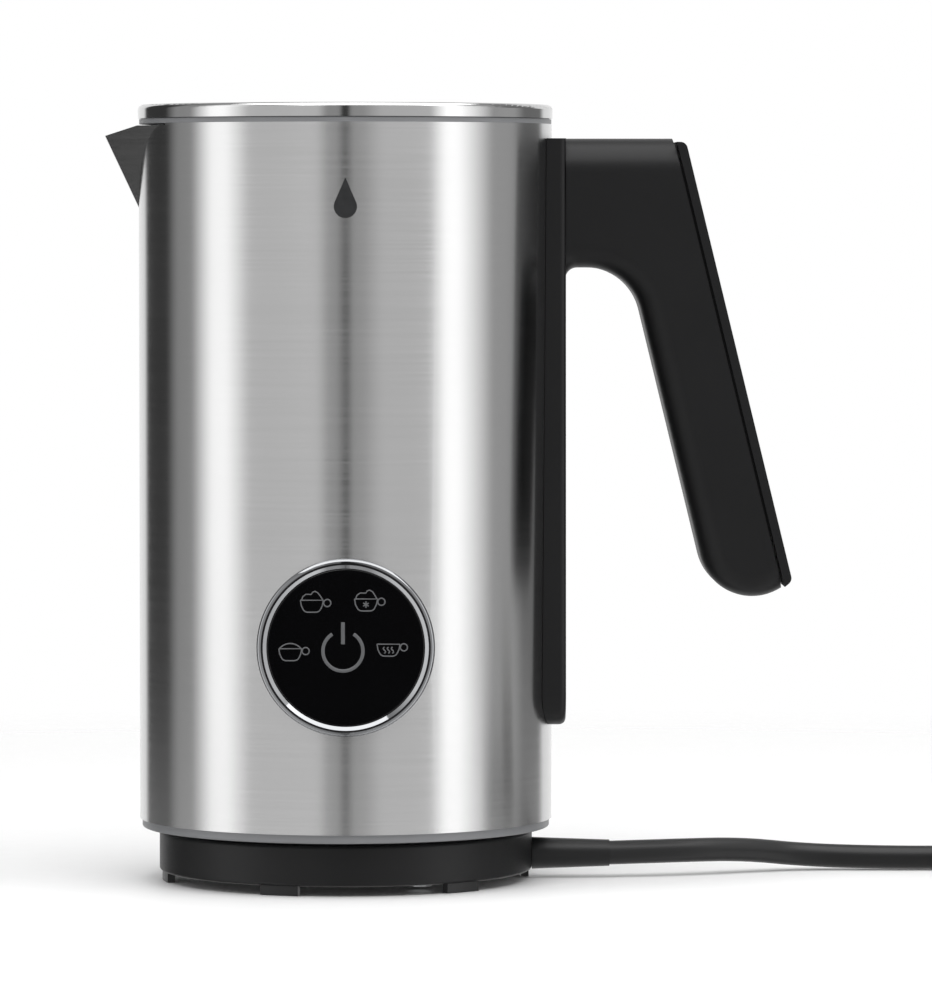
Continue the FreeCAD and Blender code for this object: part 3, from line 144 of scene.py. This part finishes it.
def uneven(name, shades, rough, patch_mm, detail=SOFT_DETAIL, grain_mm=None, depth_mm=None,
           strength=0.6, **surface):
    """A finish with two shades in patches, and two roughnesses and a relief in its grain."""
    material, tree, shader, place = start_material(name, **surface)
    patches = add(tree, "ShaderNodeTexNoise", {"Scale": per_metre(patch_mm), "Detail": detail},
                  {"Vector": place})
    grain = patches
    if grain_mm:
        grain = add(tree, "ShaderNodeTexNoise",
                    {"Scale": per_metre(grain_mm), "Detail": FINE_DETAIL}, {"Vector": place})
    shade = add(tree, "ShaderNodeMix",
                {"data_type": "RGBA", 6: linear(shades[0]), 7: linear(shades[1])},
                {"Factor": patches.outputs["Fac"]})
    tree.links.new(shade.outputs[2], shader.inputs["Base Color"])
    worn = add(tree, "ShaderNodeMapRange",
               {"From Min": NOISE_LOW, "From Max": NOISE_HIGH,
                "To Min": rough[0], "To Max": rough[1]}, {"Value": grain.outputs["Fac"]})
    tree.links.new(worn.outputs["Result"], shader.inputs["Roughness"])
    if depth_mm:
        raised = add(tree, "ShaderNodeBump", {"Strength": strength, "Distance": depth_mm * MM},
                     {"Height": grain.outputs["Fac"]})
        tree.links.new(raised.outputs[0], shader.inputs["Normal"])
    return material

# %% [markdown]
# ## Brushed steel
# The jug is stainless sheet brushed round its girth: belts leave fine level lines. Such
# lines blur a reflection up and down and hardly at all sideways, so the room shows as
# upright bands. An anisotropic shader does that when its tangent stands upright. The real
# lines are about 0.1 mm apart, too fine to show, so they are drawn 0.5 mm apart.

# %% Brushed steel
LINE_MM = 0.5
LINE_STRETCH = (0.012, 0.012, 1.0)
LINE_DEPTH_MM = 0.004
CLOUD_MM = 28.0
steel, tree, shader, place = start_material(
    "stainless_brushed_round", Metallic=1.0, Anisotropic=0.88)
drawn_out = add(tree, "ShaderNodeMapping", {"Scale": LINE_STRETCH}, {"Vector": place})
lines = add(tree, "ShaderNodeTexNoise", {"Scale": per_metre(LINE_MM), "Detail": FINE_DETAIL},
            {"Vector": drawn_out.outputs[0]}).outputs["Fac"]
cloud = add(tree, "ShaderNodeTexNoise", {"Scale": per_metre(CLOUD_MM), "Detail": SOFT_DETAIL},
            {"Vector": place}).outputs["Fac"]
shade = add(tree, "ShaderNodeMix", {"data_type": "RGBA", 6: linear("C6C6C6"), 7: linear("CECECE")},
            {"Factor": lines})
tree.links.new(shade.outputs[2], shader.inputs["Base Color"])
blend = add(tree, "ShaderNodeMath", {"operation": "ADD"})
for socket, pattern, low, high in ((0, lines, 0.19, 0.24), (1, cloud, 0.0, 0.03)):
    worn = add(tree, "ShaderNodeMapRange",
               {"From Min": NOISE_LOW, "From Max": NOISE_HIGH, "To Min": low, "To Max": high},
               {"Value": pattern})
    tree.links.new(worn.outputs["Result"], blend.inputs[socket])
tree.links.new(blend.outputs[0], shader.inputs["Roughness"])
raised = add(tree, "ShaderNodeBump", {"Strength": 0.12, "Distance": LINE_DEPTH_MM * MM},
             {"Height": lines})
tree.links.new(raised.outputs[0], shader.inputs["Normal"])
upright = add(tree, "ShaderNodeCombineXYZ", {"Z": 1.0})
tree.links.new(upright.outputs[0], shader.inputs["Tangent"])
FINISHES["brushed_steel"] = steel
print("brushed lines drawn %.1f mm apart" % LINE_MM)

# %% [markdown]
# ## Other metals
# Pressed rims are polished, the panel's ring is chromed, screws are zinc plated, pins and
# magnets are nickel plated, contacts are brass, and the heater is cast aluminium with an
# element in a steel sheath. Each keeps the metal's default index of refraction, and differs
# in colour, in roughness and in how far apart its faint blotches are. The ring's chrome is
# given a colour far darker than real chrome: painted shade for the dark room it reflects.

# %% Plain metals
METAL_DEPTH_MM = 0.002


def plain_metal(name, dark, light, roughness, blotch_mm):
    """A metal whose blotches shade it, dull it and lift it together."""
    return uneven(name, (dark, light), (roughness * 0.8, roughness * 1.25), blotch_mm,
                  FINE_DETAIL, depth_mm=METAL_DEPTH_MM, strength=0.3, Metallic=1.0)


METALS = {
    "polished_steel": ("stainless_polished", "C4C4C4", "D2D2D2", 0.09, 9.0),
    "contact_brass": ("brass_stamped", "B08D4C", "C8A561", 0.28, 3.0),
    "plated_pins": ("nickel_plated", "B9B6AD", "CBC8C0", 0.18, 4.0),
    "screw_steel": ("zinc_plated", "9EA0A1", "B6B8B9", 0.33, 2.0),
    "heater_aluminium": ("aluminium_cast", "A5A7A9", "BBBDBF", 0.46, 1.2),
    "heater_steel": ("steel_sheathed", "84807A", "9B968F", 0.38, 1.6),
    "magnet_nickel": ("magnet_plated", "A9A9A8", "C0C0BF", 0.20, 2.5),
}
for slot_name, looks in METALS.items():
    FINISHES[slot_name] = plain_metal(*looks)
# Painted shade: the ring's chrome colour is darkened to stand in for the dark reflections that make
# it look dark.
CHROME_PAINTED_DARK = plain_metal("chrome_ring_painted_shade", "8E8F91", "9C9D9F", 0.06, 12.0)
print("plain metals:", len(METALS) + 1)

# %% [markdown]
# ## Plastics, rubber and paint
# Moulded ABS takes the tool's fine spark texture and gives back little light, the cord's
# soft PVC shines a little more, and silicone and the plug blur a reflection the most. The
# motor's can and the boards have a coat of paint or lacquer. The grain of a real tool is
# about 0.1 mm; the black and grey mouldings have it at 0.35 mm, the finest that shows from
# here, and the other pieces at 0.4 to 0.8 mm.

# %% Moulded finishes
MOULDED_PATCH_MM = 22.0


def moulded(name, dark, light, roughness, grain_mm, depth_mm, index=1.5, shine=0.5):
    """shine is the shader's specular level: a textured tool face gives back less of it."""
    return uneven(name, (dark, light), (roughness * 0.88, roughness * 1.12), MOULDED_PATCH_MM,
                  grain_mm=grain_mm, depth_mm=depth_mm,
                  **{"IOR": index, "Specular IOR Level": shine})


MOULDED = {
    "black_plastic": ("abs_black_fine_texture", "0F0F10", "151516", 0.42, 0.35, 0.012, 1.52,
                      0.27),
    "grey_plastic": ("abs_grey_satin", "727375", "7D7E80", 0.38, 0.35, 0.010),
    "silicone": ("silicone_grey", "8E9092", "9A9C9E", 0.55, 0.5, 0.010, 1.41),
    "black_rubber": ("pvc_black_matt", "101011", "171718", 0.40, 0.4, 0.010, 1.52, 0.40),
    "plug_plastic": ("pvc_plug_moulded", "111112", "191A1B", 0.50, 0.4, 0.016, 1.52),
    "motor_paint": ("motor_can_painted", "7F8284", "8E9193", 0.36, 0.8, 0.010),
    "board_green": ("circuit_board_laquered", "1C4A2C", "265C38", 0.30, 0.6, 0.008),
    "component_plastic": ("epoxy_black", "1B1C1E", "26282B", 0.40, 0.5, 0.010),
    "hub_plastic": ("acetal_black", "161617", "1E1E1F", 0.34, 0.4, 0.008, 1.48),
}
for slot_name, looks in MOULDED.items():
    FINISHES[slot_name] = moulded(*looks)
print("moulded and painted finishes:", len(MOULDED))

# %% [markdown]
# ## Panel glass and lid window
# The touch panel is black-backed glass: a near-black body under a hard clear surface. The
# lid's window is clear copolyester, polished in the tool, so it is smooth enough to see the
# whisk through.

# %% Glass and clear plastic
SMEAR_MM = 12.0
WAVE_MM = 18.0
FINISHES["black_glass"] = uneven(
    "panel_glass_black", ("020203", "040405"), (0.03, 0.05), SMEAR_MM, FINE_DETAIL,
    IOR=1.5, **{"Coat Weight": 0.1, "Coat Roughness": 0.02})
FINISHES["clear_plastic"] = uneven(
    "copolyester_clear", ("E6E9EA", "F3F5F5"), (0.01, 0.025), WAVE_MM,
    IOR=1.56, **{"Transmission Weight": 0.92})
print("finishes so far:", ", ".join(FINISHES))

# %% [markdown]
# ## Give every node its finish
# The record names a slot for each node, so one loop paints them all and a forgotten finish
# shows up as an error instead of as grey.

# %% Paint the nodes
slot_of = {row["node"]: row["material_slot"] for row in frame["record"]["subparts"]}
for node_name, thing in nodes.items():
    thing.data.materials.clear()
    # The panel's ring takes the chrome whose darkened colour is painted shade.
    chosen = CHROME_PAINTED_DARK if node_name == "panel_bezel" else FINISHES[slot_of[node_name]]
    thing.data.materials.append(chosen)
print("finishes:", len(FINISHES), "on", len(nodes), "nodes")

# %% [markdown]
# ## Mains cord
# A three-core lead 6.2 mm across leaves the base through its relief, lies on the worktop in
# one easy bend and is wound up for storage. It is one spline from end to end: the stretch
# to the coil follows the CAD route's points, and a loop works out the turns. Two turns lie
# side by side; the third climbs on to them and swings out over the first to the plug.

# %% Cord route
CORD_DIAMETER = 0.0062
ROUTE = [(0.0675, 0.0, 0.0063), (0.0850, 0.0025, 0.0066), (0.1030, 0.0110, 0.0062),
         (0.1200, 0.0192, 0.0037), (0.1420, 0.0180, 0.00315), (0.1639, 0.0180, 0.00315)]
COIL_CENTRE = (0.1985, -0.0220)
FIRST_TURN = 0.0400
TURN_PITCH = 0.0065
LAST_TURN = 0.0369
FLOOR_LEVEL = 0.00315
TOP_LEVEL = 0.0095
CLIMB_ENDS = 0.35
SWING_STARTS = 0.4
STEPS = 16
PLUG_OVERLAP = 0.001
PLUG_LEVEL = 0.00925
PLUG_LEAD_IN = 0.008


def ease(share):
    """0 to 1 with a soft start and end."""
    share = min(max(share, 0.0), 1.0)
    return share * share * (3 - 2 * share)


def coil_point(turned):
    """Where the cord's line is after that many turns, clockwise from the top."""
    tight = FIRST_TURN - 2 * TURN_PITCH
    if turned < 2:
        radius, level = FIRST_TURN - TURN_PITCH * turned, FLOOR_LEVEL
    else:
        last = turned - 2
        swing = (last - SWING_STARTS) / (1 - SWING_STARTS)
        radius = tight + (LAST_TURN - tight) * ease(swing)
        climb = math.sin(min(last / CLIMB_ENDS, 1) * math.pi / 2)
        level = FLOOR_LEVEL + (TOP_LEVEL - FLOOR_LEVEL) * climb
    reach = radius / math.cos(math.pi / STEPS)
    angle = math.pi / 2 - 2 * math.pi * turned
    return (COIL_CENTRE[0] + reach * math.cos(angle),
            COIL_CENTRE[1] + reach * math.sin(angle), level)


plug_low, plug_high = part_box("plug_body")
plug_entry = (plug_low.x + PLUG_OVERLAP, (plug_low.y + plug_high.y) / 2, PLUG_LEVEL)
points = list(ROUTE)
for step in range(3 * STEPS):
    points.append(coil_point((step + 0.5) / STEPS))
points.append((plug_entry[0] - PLUG_LEAD_IN, plug_entry[1], plug_entry[2]))
points.append(plug_entry)
print("plug entry, mm:", [round(value / MM, 2) for value in plug_entry])

# %% Cord piece


def cord_curve(name, route, diameter):
    """A round NURBS cord through a list of control points."""
    data = bpy.data.curves.new(name, "CURVE")
    data.dimensions = "3D"
    data.bevel_depth = diameter / 2
    data.bevel_resolution = 5
    data.resolution_u = 6
    data.use_fill_caps = True
    line = data.splines.new("NURBS")
    line.points.add(len(route) - 1)
    for point, where in zip(line.points, route):
        point.co = (*where, 1.0)
    line.order_u = 3
    line.use_endpoint_u = True
    made = bpy.data.objects.new(name, data)
    scene.collection.objects.link(made)
    return made


cord = cord_curve("mains_lead", points, CORD_DIAMETER)
cord.data.materials.append(FINISHES["black_rubber"])
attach(cord, "base")
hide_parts("mains_cord", "cord_coil")
print("cord: %.1f mm across, %d points" % (CORD_DIAMETER / MM, len(points)))

# %% [markdown]
# ## Whisk spring
# The whisk is a steel wire wound like a spring and bent into a ring. The CAD solid is only
# the ring's outside, so a true winding replaces it: one closed spline that goes round the
# ring once while it circles the wire's own path some sixty times.

# %% Whisk spring
RING_RADIUS = 0.0150
WINDING_RADIUS = 0.0026
WIRE_RADIUS = 0.0004
WINDINGS = 60
POINTS_A_WINDING = 8
whisk_low, whisk_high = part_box("whisk_coil")
ring_level = (whisk_low.z + whisk_high.z) / 2

spring_data = bpy.data.curves.new("whisk_spring_line", "CURVE")
spring_data.dimensions = "3D"
spring_data.bevel_depth = WIRE_RADIUS
spring_data.bevel_resolution = 1
spring_data.resolution_u = 2
spring_line = spring_data.splines.new("NURBS")
count = WINDINGS * POINTS_A_WINDING
spring_line.points.add(count - 1)
swell = 1 / math.cos(math.pi / POINTS_A_WINDING)
for k, point in enumerate(spring_line.points):
    around = 2 * math.pi * k / count
    winding = around * WINDINGS
    out = RING_RADIUS + swell * WINDING_RADIUS * math.cos(winding)
    up = ring_level + swell * WINDING_RADIUS * math.sin(winding)
    point.co = (out * math.cos(around), out * math.sin(around), up, 1.0)
spring_line.order_u = 3
spring_line.use_cyclic_u = True
print("spring:", WINDINGS, "windings in", count, "points")

# %% Whisk spring as a mesh
spring_object = bpy.data.objects.new("whisk_spring_line", spring_data)
scene.collection.objects.link(spring_object)
bpy.context.view_layer.update()
spring_mesh = bpy.data.meshes.new_from_object(
    spring_object.evaluated_get(bpy.context.evaluated_depsgraph_get()))
bpy.data.objects.remove(spring_object)
spring = bpy.data.objects.new("whisk_spring", spring_mesh)
scene.collection.objects.link(spring)
spring_mesh.materials.clear()
spring_mesh.materials.append(FINISHES["polished_steel"])
for face in spring_mesh.polygons:
    face.use_smooth = True
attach(spring, "whisk")
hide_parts("whisk_coil")
print("spring faces:", len(spring_mesh.polygons))

# %% [markdown]
# ## Printed signs
# The real keys are printed under the glass in grey: a power ring in the middle and four cups
# for hot foam, cold foam, a thin layer of foam and plain heating. This glass is a solid
# near-black, which would hide them, so they lie on its face. A sign is drawn with a pen of
# even width, so each stroke is a line with a round section, pressed nearly flat.

# %% Pen strokes
glass_low, glass_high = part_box("panel_glass")
GLASS_MIDDLE = Vector(((glass_low.x + glass_high.x) / 2, 0, (glass_low.z + glass_high.z) / 2))
PRINT_FACE = glass_low.y
PRINT_THICK = 0.00006
PRINT_PROUD = 0.4
FADE_MM = 2.0
INK = uneven("print_grey_on_glass", ("505153", "5C5D5F"), (0.45, 0.6), FADE_MM, IOR=1.5)


def arc(x, z, radius, start, end, count=14):
    """Points of an arc in degrees, counted anticlockwise from the right."""
    angles = [math.radians(start + (end - start) * k / (count - 1)) for k in range(count)]
    return [(x + radius * math.cos(a), z + radius * math.sin(a)) for a in angles]


def sign(name, strokes, width_mm):
    """One printed sign: strokes are lists of (right, up) in mm from the glass's middle."""
    data = bpy.data.curves.new(name + "_line", "CURVE")
    data.dimensions = "3D"
    data.bevel_depth = width_mm * MM / 2
    data.bevel_resolution = 1
    data.use_fill_caps = True
    for stroke in strokes:
        line = data.splines.new("POLY")
        line.points.add(len(stroke) - 1)
        for point, (right, up) in zip(line.points, stroke):
            point.co = (right * MM, 0, up * MM, 1.0)
    drawn = bpy.data.objects.new(name + "_line", data)
    scene.collection.objects.link(drawn)
    bpy.context.view_layer.update()
    mesh = bpy.data.meshes.new_from_object(
        drawn.evaluated_get(bpy.context.evaluated_depsgraph_get()))
    bpy.data.objects.remove(drawn)
    for vertex in mesh.vertices:
        depth = vertex.co.y / (width_mm * MM)
        vertex.co = (vertex.co.x + GLASS_MIDDLE.x,
                     PRINT_FACE + (depth - PRINT_PROUD) * PRINT_THICK,
                     vertex.co.z + GLASS_MIDDLE.z)
    mesh.materials.clear()
    mesh.materials.append(INK)
    made = bpy.data.objects.new(name, mesh)
    scene.collection.objects.link(made)
    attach(made, "jug")
    return made


print("glass middle, mm:", [round(value / MM, 1) for value in GLASS_MIDDLE])

# %% [markdown]
# ## Shapes of the signs
# The four cup keys share a bowl and a round handle, and differ in what is above the bowl or
# in it. So each part of a cup is a function, in millimetres from the glass's middle, and the
# proportions inside it are shares of the bowl's width and depth.

# %% Parts of a cup


def cup(left, right, top, depth):
    """The outline of a bowl that narrows to its foot, with round lower corners."""
    taper = 0.16 * (right - left)
    radius = depth * 0.45
    low = top - depth
    return ([(left, top), (left + taper * 0.25, top - depth * 0.45)]
            + arc(left + taper + radius * 0.7, low + radius, radius, 205, 270, 5)
            + arc(right - taper - radius * 0.7, low + radius, radius, 270, 335, 5)
            + [(right - taper * 0.25, top - depth * 0.45), (right, top), (left, top)])


def foam(left, right, top, tip_x, tip_z):
    """A heap of foam on a cup: a low shoulder, then a rounded peak."""
    rise = tip_z - top
    return [(left + 0.3, top), (left + 0.6, top + rise * 0.42), (left + 1.4, top + rise * 0.68),
            (tip_x - 1.0, top + rise * 0.66), (tip_x - 0.6, top + rise * 0.93), (tip_x, tip_z),
            (tip_x + 0.7, top + rise * 0.82), (right - 0.6, top + rise * 0.40), (right - 0.1, top)]


def heat_wave(x, z, height, lean=0.28):
    """A short upright wave, for heat."""
    return [(x + lean * math.sin(2 * math.pi * k / 10), z - height / 2 + height * k / 10)
            for k in range(11)]


def ring(x, z, radius=0.9):
    """A cup's round handle."""
    return arc(x, z, radius, 0, 360, 19)


print("a bowl's outline has", len(cup(0, 1, 1, 1)), "points")

# %% [markdown]
# ## The five keys
# The power ring is open at the top, where its short stroke stands. The cups stand round it,
# one above on each side and one level with it on each side.

# %% The five keys
LINE = 0.36
POWER_AT = (-0.7, -0.8)
POWER_GAP = 32
CUP_WIDE, CUP_TALL = 5.7, 3.0
power_x, power_z = POWER_AT
sign("sign_power", [arc(power_x, power_z, 5.0, 90 + POWER_GAP, 450 - POWER_GAP, 40),
                    [(power_x, power_z + 1.7), (power_x, power_z + 7.2)]], 1.0)

left, top = -11.3, 11.9
sign("sign_hot_foam", [cup(left, left + CUP_WIDE, top, CUP_TALL),
                       ring(left + CUP_WIDE + 1.0, top - 0.7),
                       foam(left, left + CUP_WIDE, top, left + 3.7, top + 2.2)], LINE)

left, top = 2.2, 12.2
middle_x, middle_z = left + CUP_WIDE / 2, top - 1.4
FLAKE_ARM = 0.8
flake = []
for degrees in (90, 30, -30):
    arm_x = FLAKE_ARM * math.cos(math.radians(degrees))
    arm_z = FLAKE_ARM * math.sin(math.radians(degrees))
    flake.append([(middle_x - arm_x, middle_z - arm_z), (middle_x + arm_x, middle_z + arm_z)])
sign("sign_cold_foam", [cup(left, left + CUP_WIDE, top, CUP_TALL),
                        ring(left + CUP_WIDE + 1.0, top - 0.7),
                        foam(left, left + CUP_WIDE, top, left + 3.8, top + 2.2)] + flake, LINE)

left, top = -16.7, -0.2
crest = arc(left + CUP_WIDE / 2, top - 2.2, 3.5, 142, 38, 11)
sign("sign_thin_foam", [cup(left, left + CUP_WIDE, top, CUP_TALL),
                        ring(left + CUP_WIDE + 1.0, top - 0.6), crest], LINE)

left, top = 7.8, 0.9
waves = [heat_wave(left + CUP_WIDE / 2 + shift, top - 1.5, 1.6) for shift in (-1.0, 0.0, 1.0)]
sign("sign_heat", [cup(left, left + CUP_WIDE, top, CUP_TALL),
                   ring(left + CUP_WIDE + 1.0, top - 0.8)] + waves, LINE)
print("signs printed")

# %% [markdown]
# ## Drop mark
# A plain drop of milk stands on the jug's upper front, printed in dark grey. It is drawn
# flat and then laid on to the round shell.

# %% Drop outline
SHELL_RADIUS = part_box("outer_shell")[1].x
DROP_HEIGHT_Z = 0.1730
DROP_RADIUS = 0.0029
DROP_TIP = 0.0072
DROP_OFF_SHELL = 0.00003
ROUND_DEGREES = range(155, 386, 11)

outline = [(DROP_RADIUS * math.cos(math.radians(degrees)),
            DROP_RADIUS * math.sin(math.radians(degrees))) for degrees in ROUND_DEGREES]
outline.append((0.0, DROP_TIP))
print("drop outline points:", len(outline))

# %% Drop laid on the shell
drop_mesh = bmesh.new()
drop_mesh.faces.new([drop_mesh.verts.new((x, 0, z)) for x, z in outline])
bmesh.ops.triangulate(drop_mesh, faces=drop_mesh.faces[:])
bmesh.ops.subdivide_edges(drop_mesh, edges=drop_mesh.edges[:], cuts=3, use_grid_fill=True)
for vertex in drop_mesh.verts:
    x = vertex.co.x
    y = -math.sqrt((SHELL_RADIUS + DROP_OFF_SHELL) ** 2 - x * x)
    vertex.co = (x, y, vertex.co.z + DROP_HEIGHT_Z)
bmesh.ops.recalc_face_normals(drop_mesh, faces=drop_mesh.faces[:])
drop_data = bpy.data.meshes.new("drop_mark")
drop_mesh.to_mesh(drop_data)
drop_mesh.free()
if drop_data.polygons[0].normal.y > 0:
    drop_data.flip_normals()
drop = bpy.data.objects.new("drop_mark", drop_data)
scene.collection.objects.link(drop)
WEAR_MM = 1.5
drop_data.materials.append(
    uneven("print_dark_on_steel", ("161718", "1D1E20"), (0.4, 0.55), WEAR_MM, IOR=1.5))
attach(drop, "jug")
print("drop mark faces:", len(drop_data.polygons))

# %% [markdown]
# ## Room and light
# Polished and brushed metal show the room, so the room matters more than the lamps. This is
# the usual set for a steel pot: two upright light boxes in front to the left and right, grey
# fill between them, black flags behind the sides that draw the dark edges, and a white wall
# at the back. The camera stands in front of a dark cloth, which is what the glass shows. The
# camera's own rays meet plain white.

# %% The set round the object
# Each screen: where it starts and ends in degrees from the camera, and how bright it is.
SCREENS = {
    "wall behind, left": (-180, -150, 0.95),
    "flag, left": (-145, -118, 0.05),
    "side, left": (-108, -95, 0.35),
    "light box, left": (-80, -70, 1.60),
    "fill, left": (-55, -15, 0.70),
    "dark surround, left": (-10, -3, 0.38),
    "cloth behind the camera": (-2, 2, 0.04),
    "dark surround, right": (3, 10, 0.40),
    "fill, right": (20, 48, 0.65),
    "light box, right": (58, 66, 1.75),
    "side, right": (90, 108, 0.45),
    "flag, right": (118, 138, 0.20),
    "wall behind, right": (145, 180, 0.95),
}

SKY_SCALE = 2.0
ROOF = 0.4
ROOF_STARTS, ROOF_FULL = 0.45, 0.85


def grey(light):
    """A light as a colour that the sky's strength brings back to its value."""
    return (light / SKY_SCALE, light / SKY_SCALE, light / SKY_SCALE, 1)


print("screens:", len(SCREENS))

# %% The set as a world
world = bpy.data.worlds.new("room")
scene.world = world
world.use_nodes = True
tree = world.node_tree
tree.nodes.clear()
ray = add(tree, "ShaderNodeTexCoord").outputs["Generated"]
parts = add(tree, "ShaderNodeSeparateXYZ", links={0: ray})
forward = add(tree, "ShaderNodeMath", {"operation": "MULTIPLY", 1: -1.0},
              {0: parts.outputs["Y"]})
turn = add(tree, "ShaderNodeMath", {"operation": "ARCTAN2"},
           {0: parts.outputs["X"], 1: forward.outputs[0]})
share = add(tree, "ShaderNodeMapRange", {"From Min": -math.pi, "From Max": math.pi},
            {"Value": turn.outputs[0]})
ramp = add(tree, "ShaderNodeValToRGB", links={"Fac": share.outputs["Result"]})
stops = ramp.color_ramp.elements
while len(stops) > 1:
    stops.remove(stops[-1])
stops[0].position = 0.0
edges = []
for start, end, light in SCREENS.values():
    edges += [(start, light), (end, light)]
for number, (degrees, light) in enumerate(edges):
    stop = stops[0] if number == 0 else stops.new((degrees + 180) / 360)
    stop.color = grey(light)
overhead = add(tree, "ShaderNodeMapRange", {"From Min": ROOF_STARTS, "From Max": ROOF_FULL},
               {"Value": parts.outputs["Z"]})
roof = add(tree, "ShaderNodeMix", {"data_type": "RGBA", 7: grey(ROOF)},
           {"Factor": overhead.outputs["Result"], 6: ramp.outputs["Color"]})
screens = add(tree, "ShaderNodeBackground", {"Strength": SKY_SCALE}, {"Color": roof.outputs[2]})
white = add(tree, "ShaderNodeBackground", {"Strength": 1.0, "Color": (1, 1, 1, 1)})
seen = add(tree, "ShaderNodeLightPath").outputs["Is Camera Ray"]
both = add(tree, "ShaderNodeMixShader", links={0: seen, 1: screens.outputs[0], 2: white.outputs[0]})
add(tree, "ShaderNodeOutputWorld", links={"Surface": both.outputs[0]})
scene.view_settings.view_transform = "Standard"
print("ramp stops:", len(stops))

# %% [markdown]
# ## Overhead box
# One large soft box hangs above the object and a little in front of it. It is the only lamp:
# it lights the lid's top and gives the floor a shadow with no hard edge. An area lamp does
# this, and its size decides how soft the shadow is.

# %% Overhead box
LAMP_PLACE = Vector((0.10, -0.25, 0.95))
LAMP_AIM = Vector((0.03, 0, 0.10))
LAMP_WATTS = 12.0
lamp_data = bpy.data.lights.new("overhead_box", "AREA")
lamp_data.shape = "RECTANGLE"
lamp_data.size, lamp_data.size_y = 1.4, 1.1
lamp_data.energy = LAMP_WATTS
lamp = bpy.data.objects.new("overhead_box", lamp_data)
scene.collection.objects.link(lamp)
lamp.location = LAMP_PLACE
lamp.rotation_euler = (LAMP_AIM - LAMP_PLACE).to_track_quat("-Z", "Y").to_euler()
print("overhead box: %.0f W, %.2f m up" % (LAMP_WATTS, LAMP_PLACE.z))

# %% [markdown]
# ## Floor
# A pale disc catches the contact shadow. It fades to nothing towards its edge, so that no
# horizon cuts the white behind the jug. Mirror rays meet only a fifth of it, which a real
# floor can't do: it keeps the floor's white out of the steel.

# %% Floor
FLOOR_RADIUS = 0.60
FADE_STARTS = 0.26
FADE_ENDS = FLOOR_RADIUS * 0.95
MIRROR_LOSS = 0.8
FLOOR_PLACE = (0.03, 0.0, -0.0001)
FLECK_MM = 6.0
floor_mesh = bmesh.new()
bmesh.ops.create_circle(floor_mesh, cap_ends=True, radius=FLOOR_RADIUS, segments=96)
floor_data = bpy.data.meshes.new("floor")
floor_mesh.to_mesh(floor_data)
floor_mesh.free()
floor = bpy.data.objects.new("floor", floor_data)
scene.collection.objects.link(floor)
floor.location = FLOOR_PLACE
surface, tree, shader, place = start_material("painted_board_white", Roughness=0.55)
fleck = add(tree, "ShaderNodeTexNoise", {"Scale": per_metre(FLECK_MM), "Detail": SOFT_DETAIL},
            {"Vector": place})
shade = add(tree, "ShaderNodeMix", {"data_type": "RGBA", 6: linear("F6F6F6"), 7: linear("FAFAFA")},
            {"Factor": fleck.outputs["Fac"]})
tree.links.new(shade.outputs[2], shader.inputs["Base Color"])
reach = add(tree, "ShaderNodeVectorMath", {"operation": "LENGTH"}, {0: place})
edge = add(tree, "ShaderNodeMapRange",
           {"From Min": FADE_STARTS, "From Max": FADE_ENDS, "To Min": 1.0, "To Max": 0.0},
           {"Value": reach.outputs["Value"]})
mirrored = add(tree, "ShaderNodeLightPath").outputs["Is Glossy Ray"]
thin = add(tree, "ShaderNodeMath", {"operation": "MULTIPLY_ADD", 1: -MIRROR_LOSS, 2: 1.0},
           {0: mirrored})
cover = add(tree, "ShaderNodeMath", {"operation": "MULTIPLY"},
            {0: edge.outputs["Result"], 1: thin.outputs[0]})
tree.links.new(cover.outputs[0], shader.inputs["Alpha"])
floor_data.materials.append(surface)
print("floor: %.2f m across" % (2 * FLOOR_RADIUS))
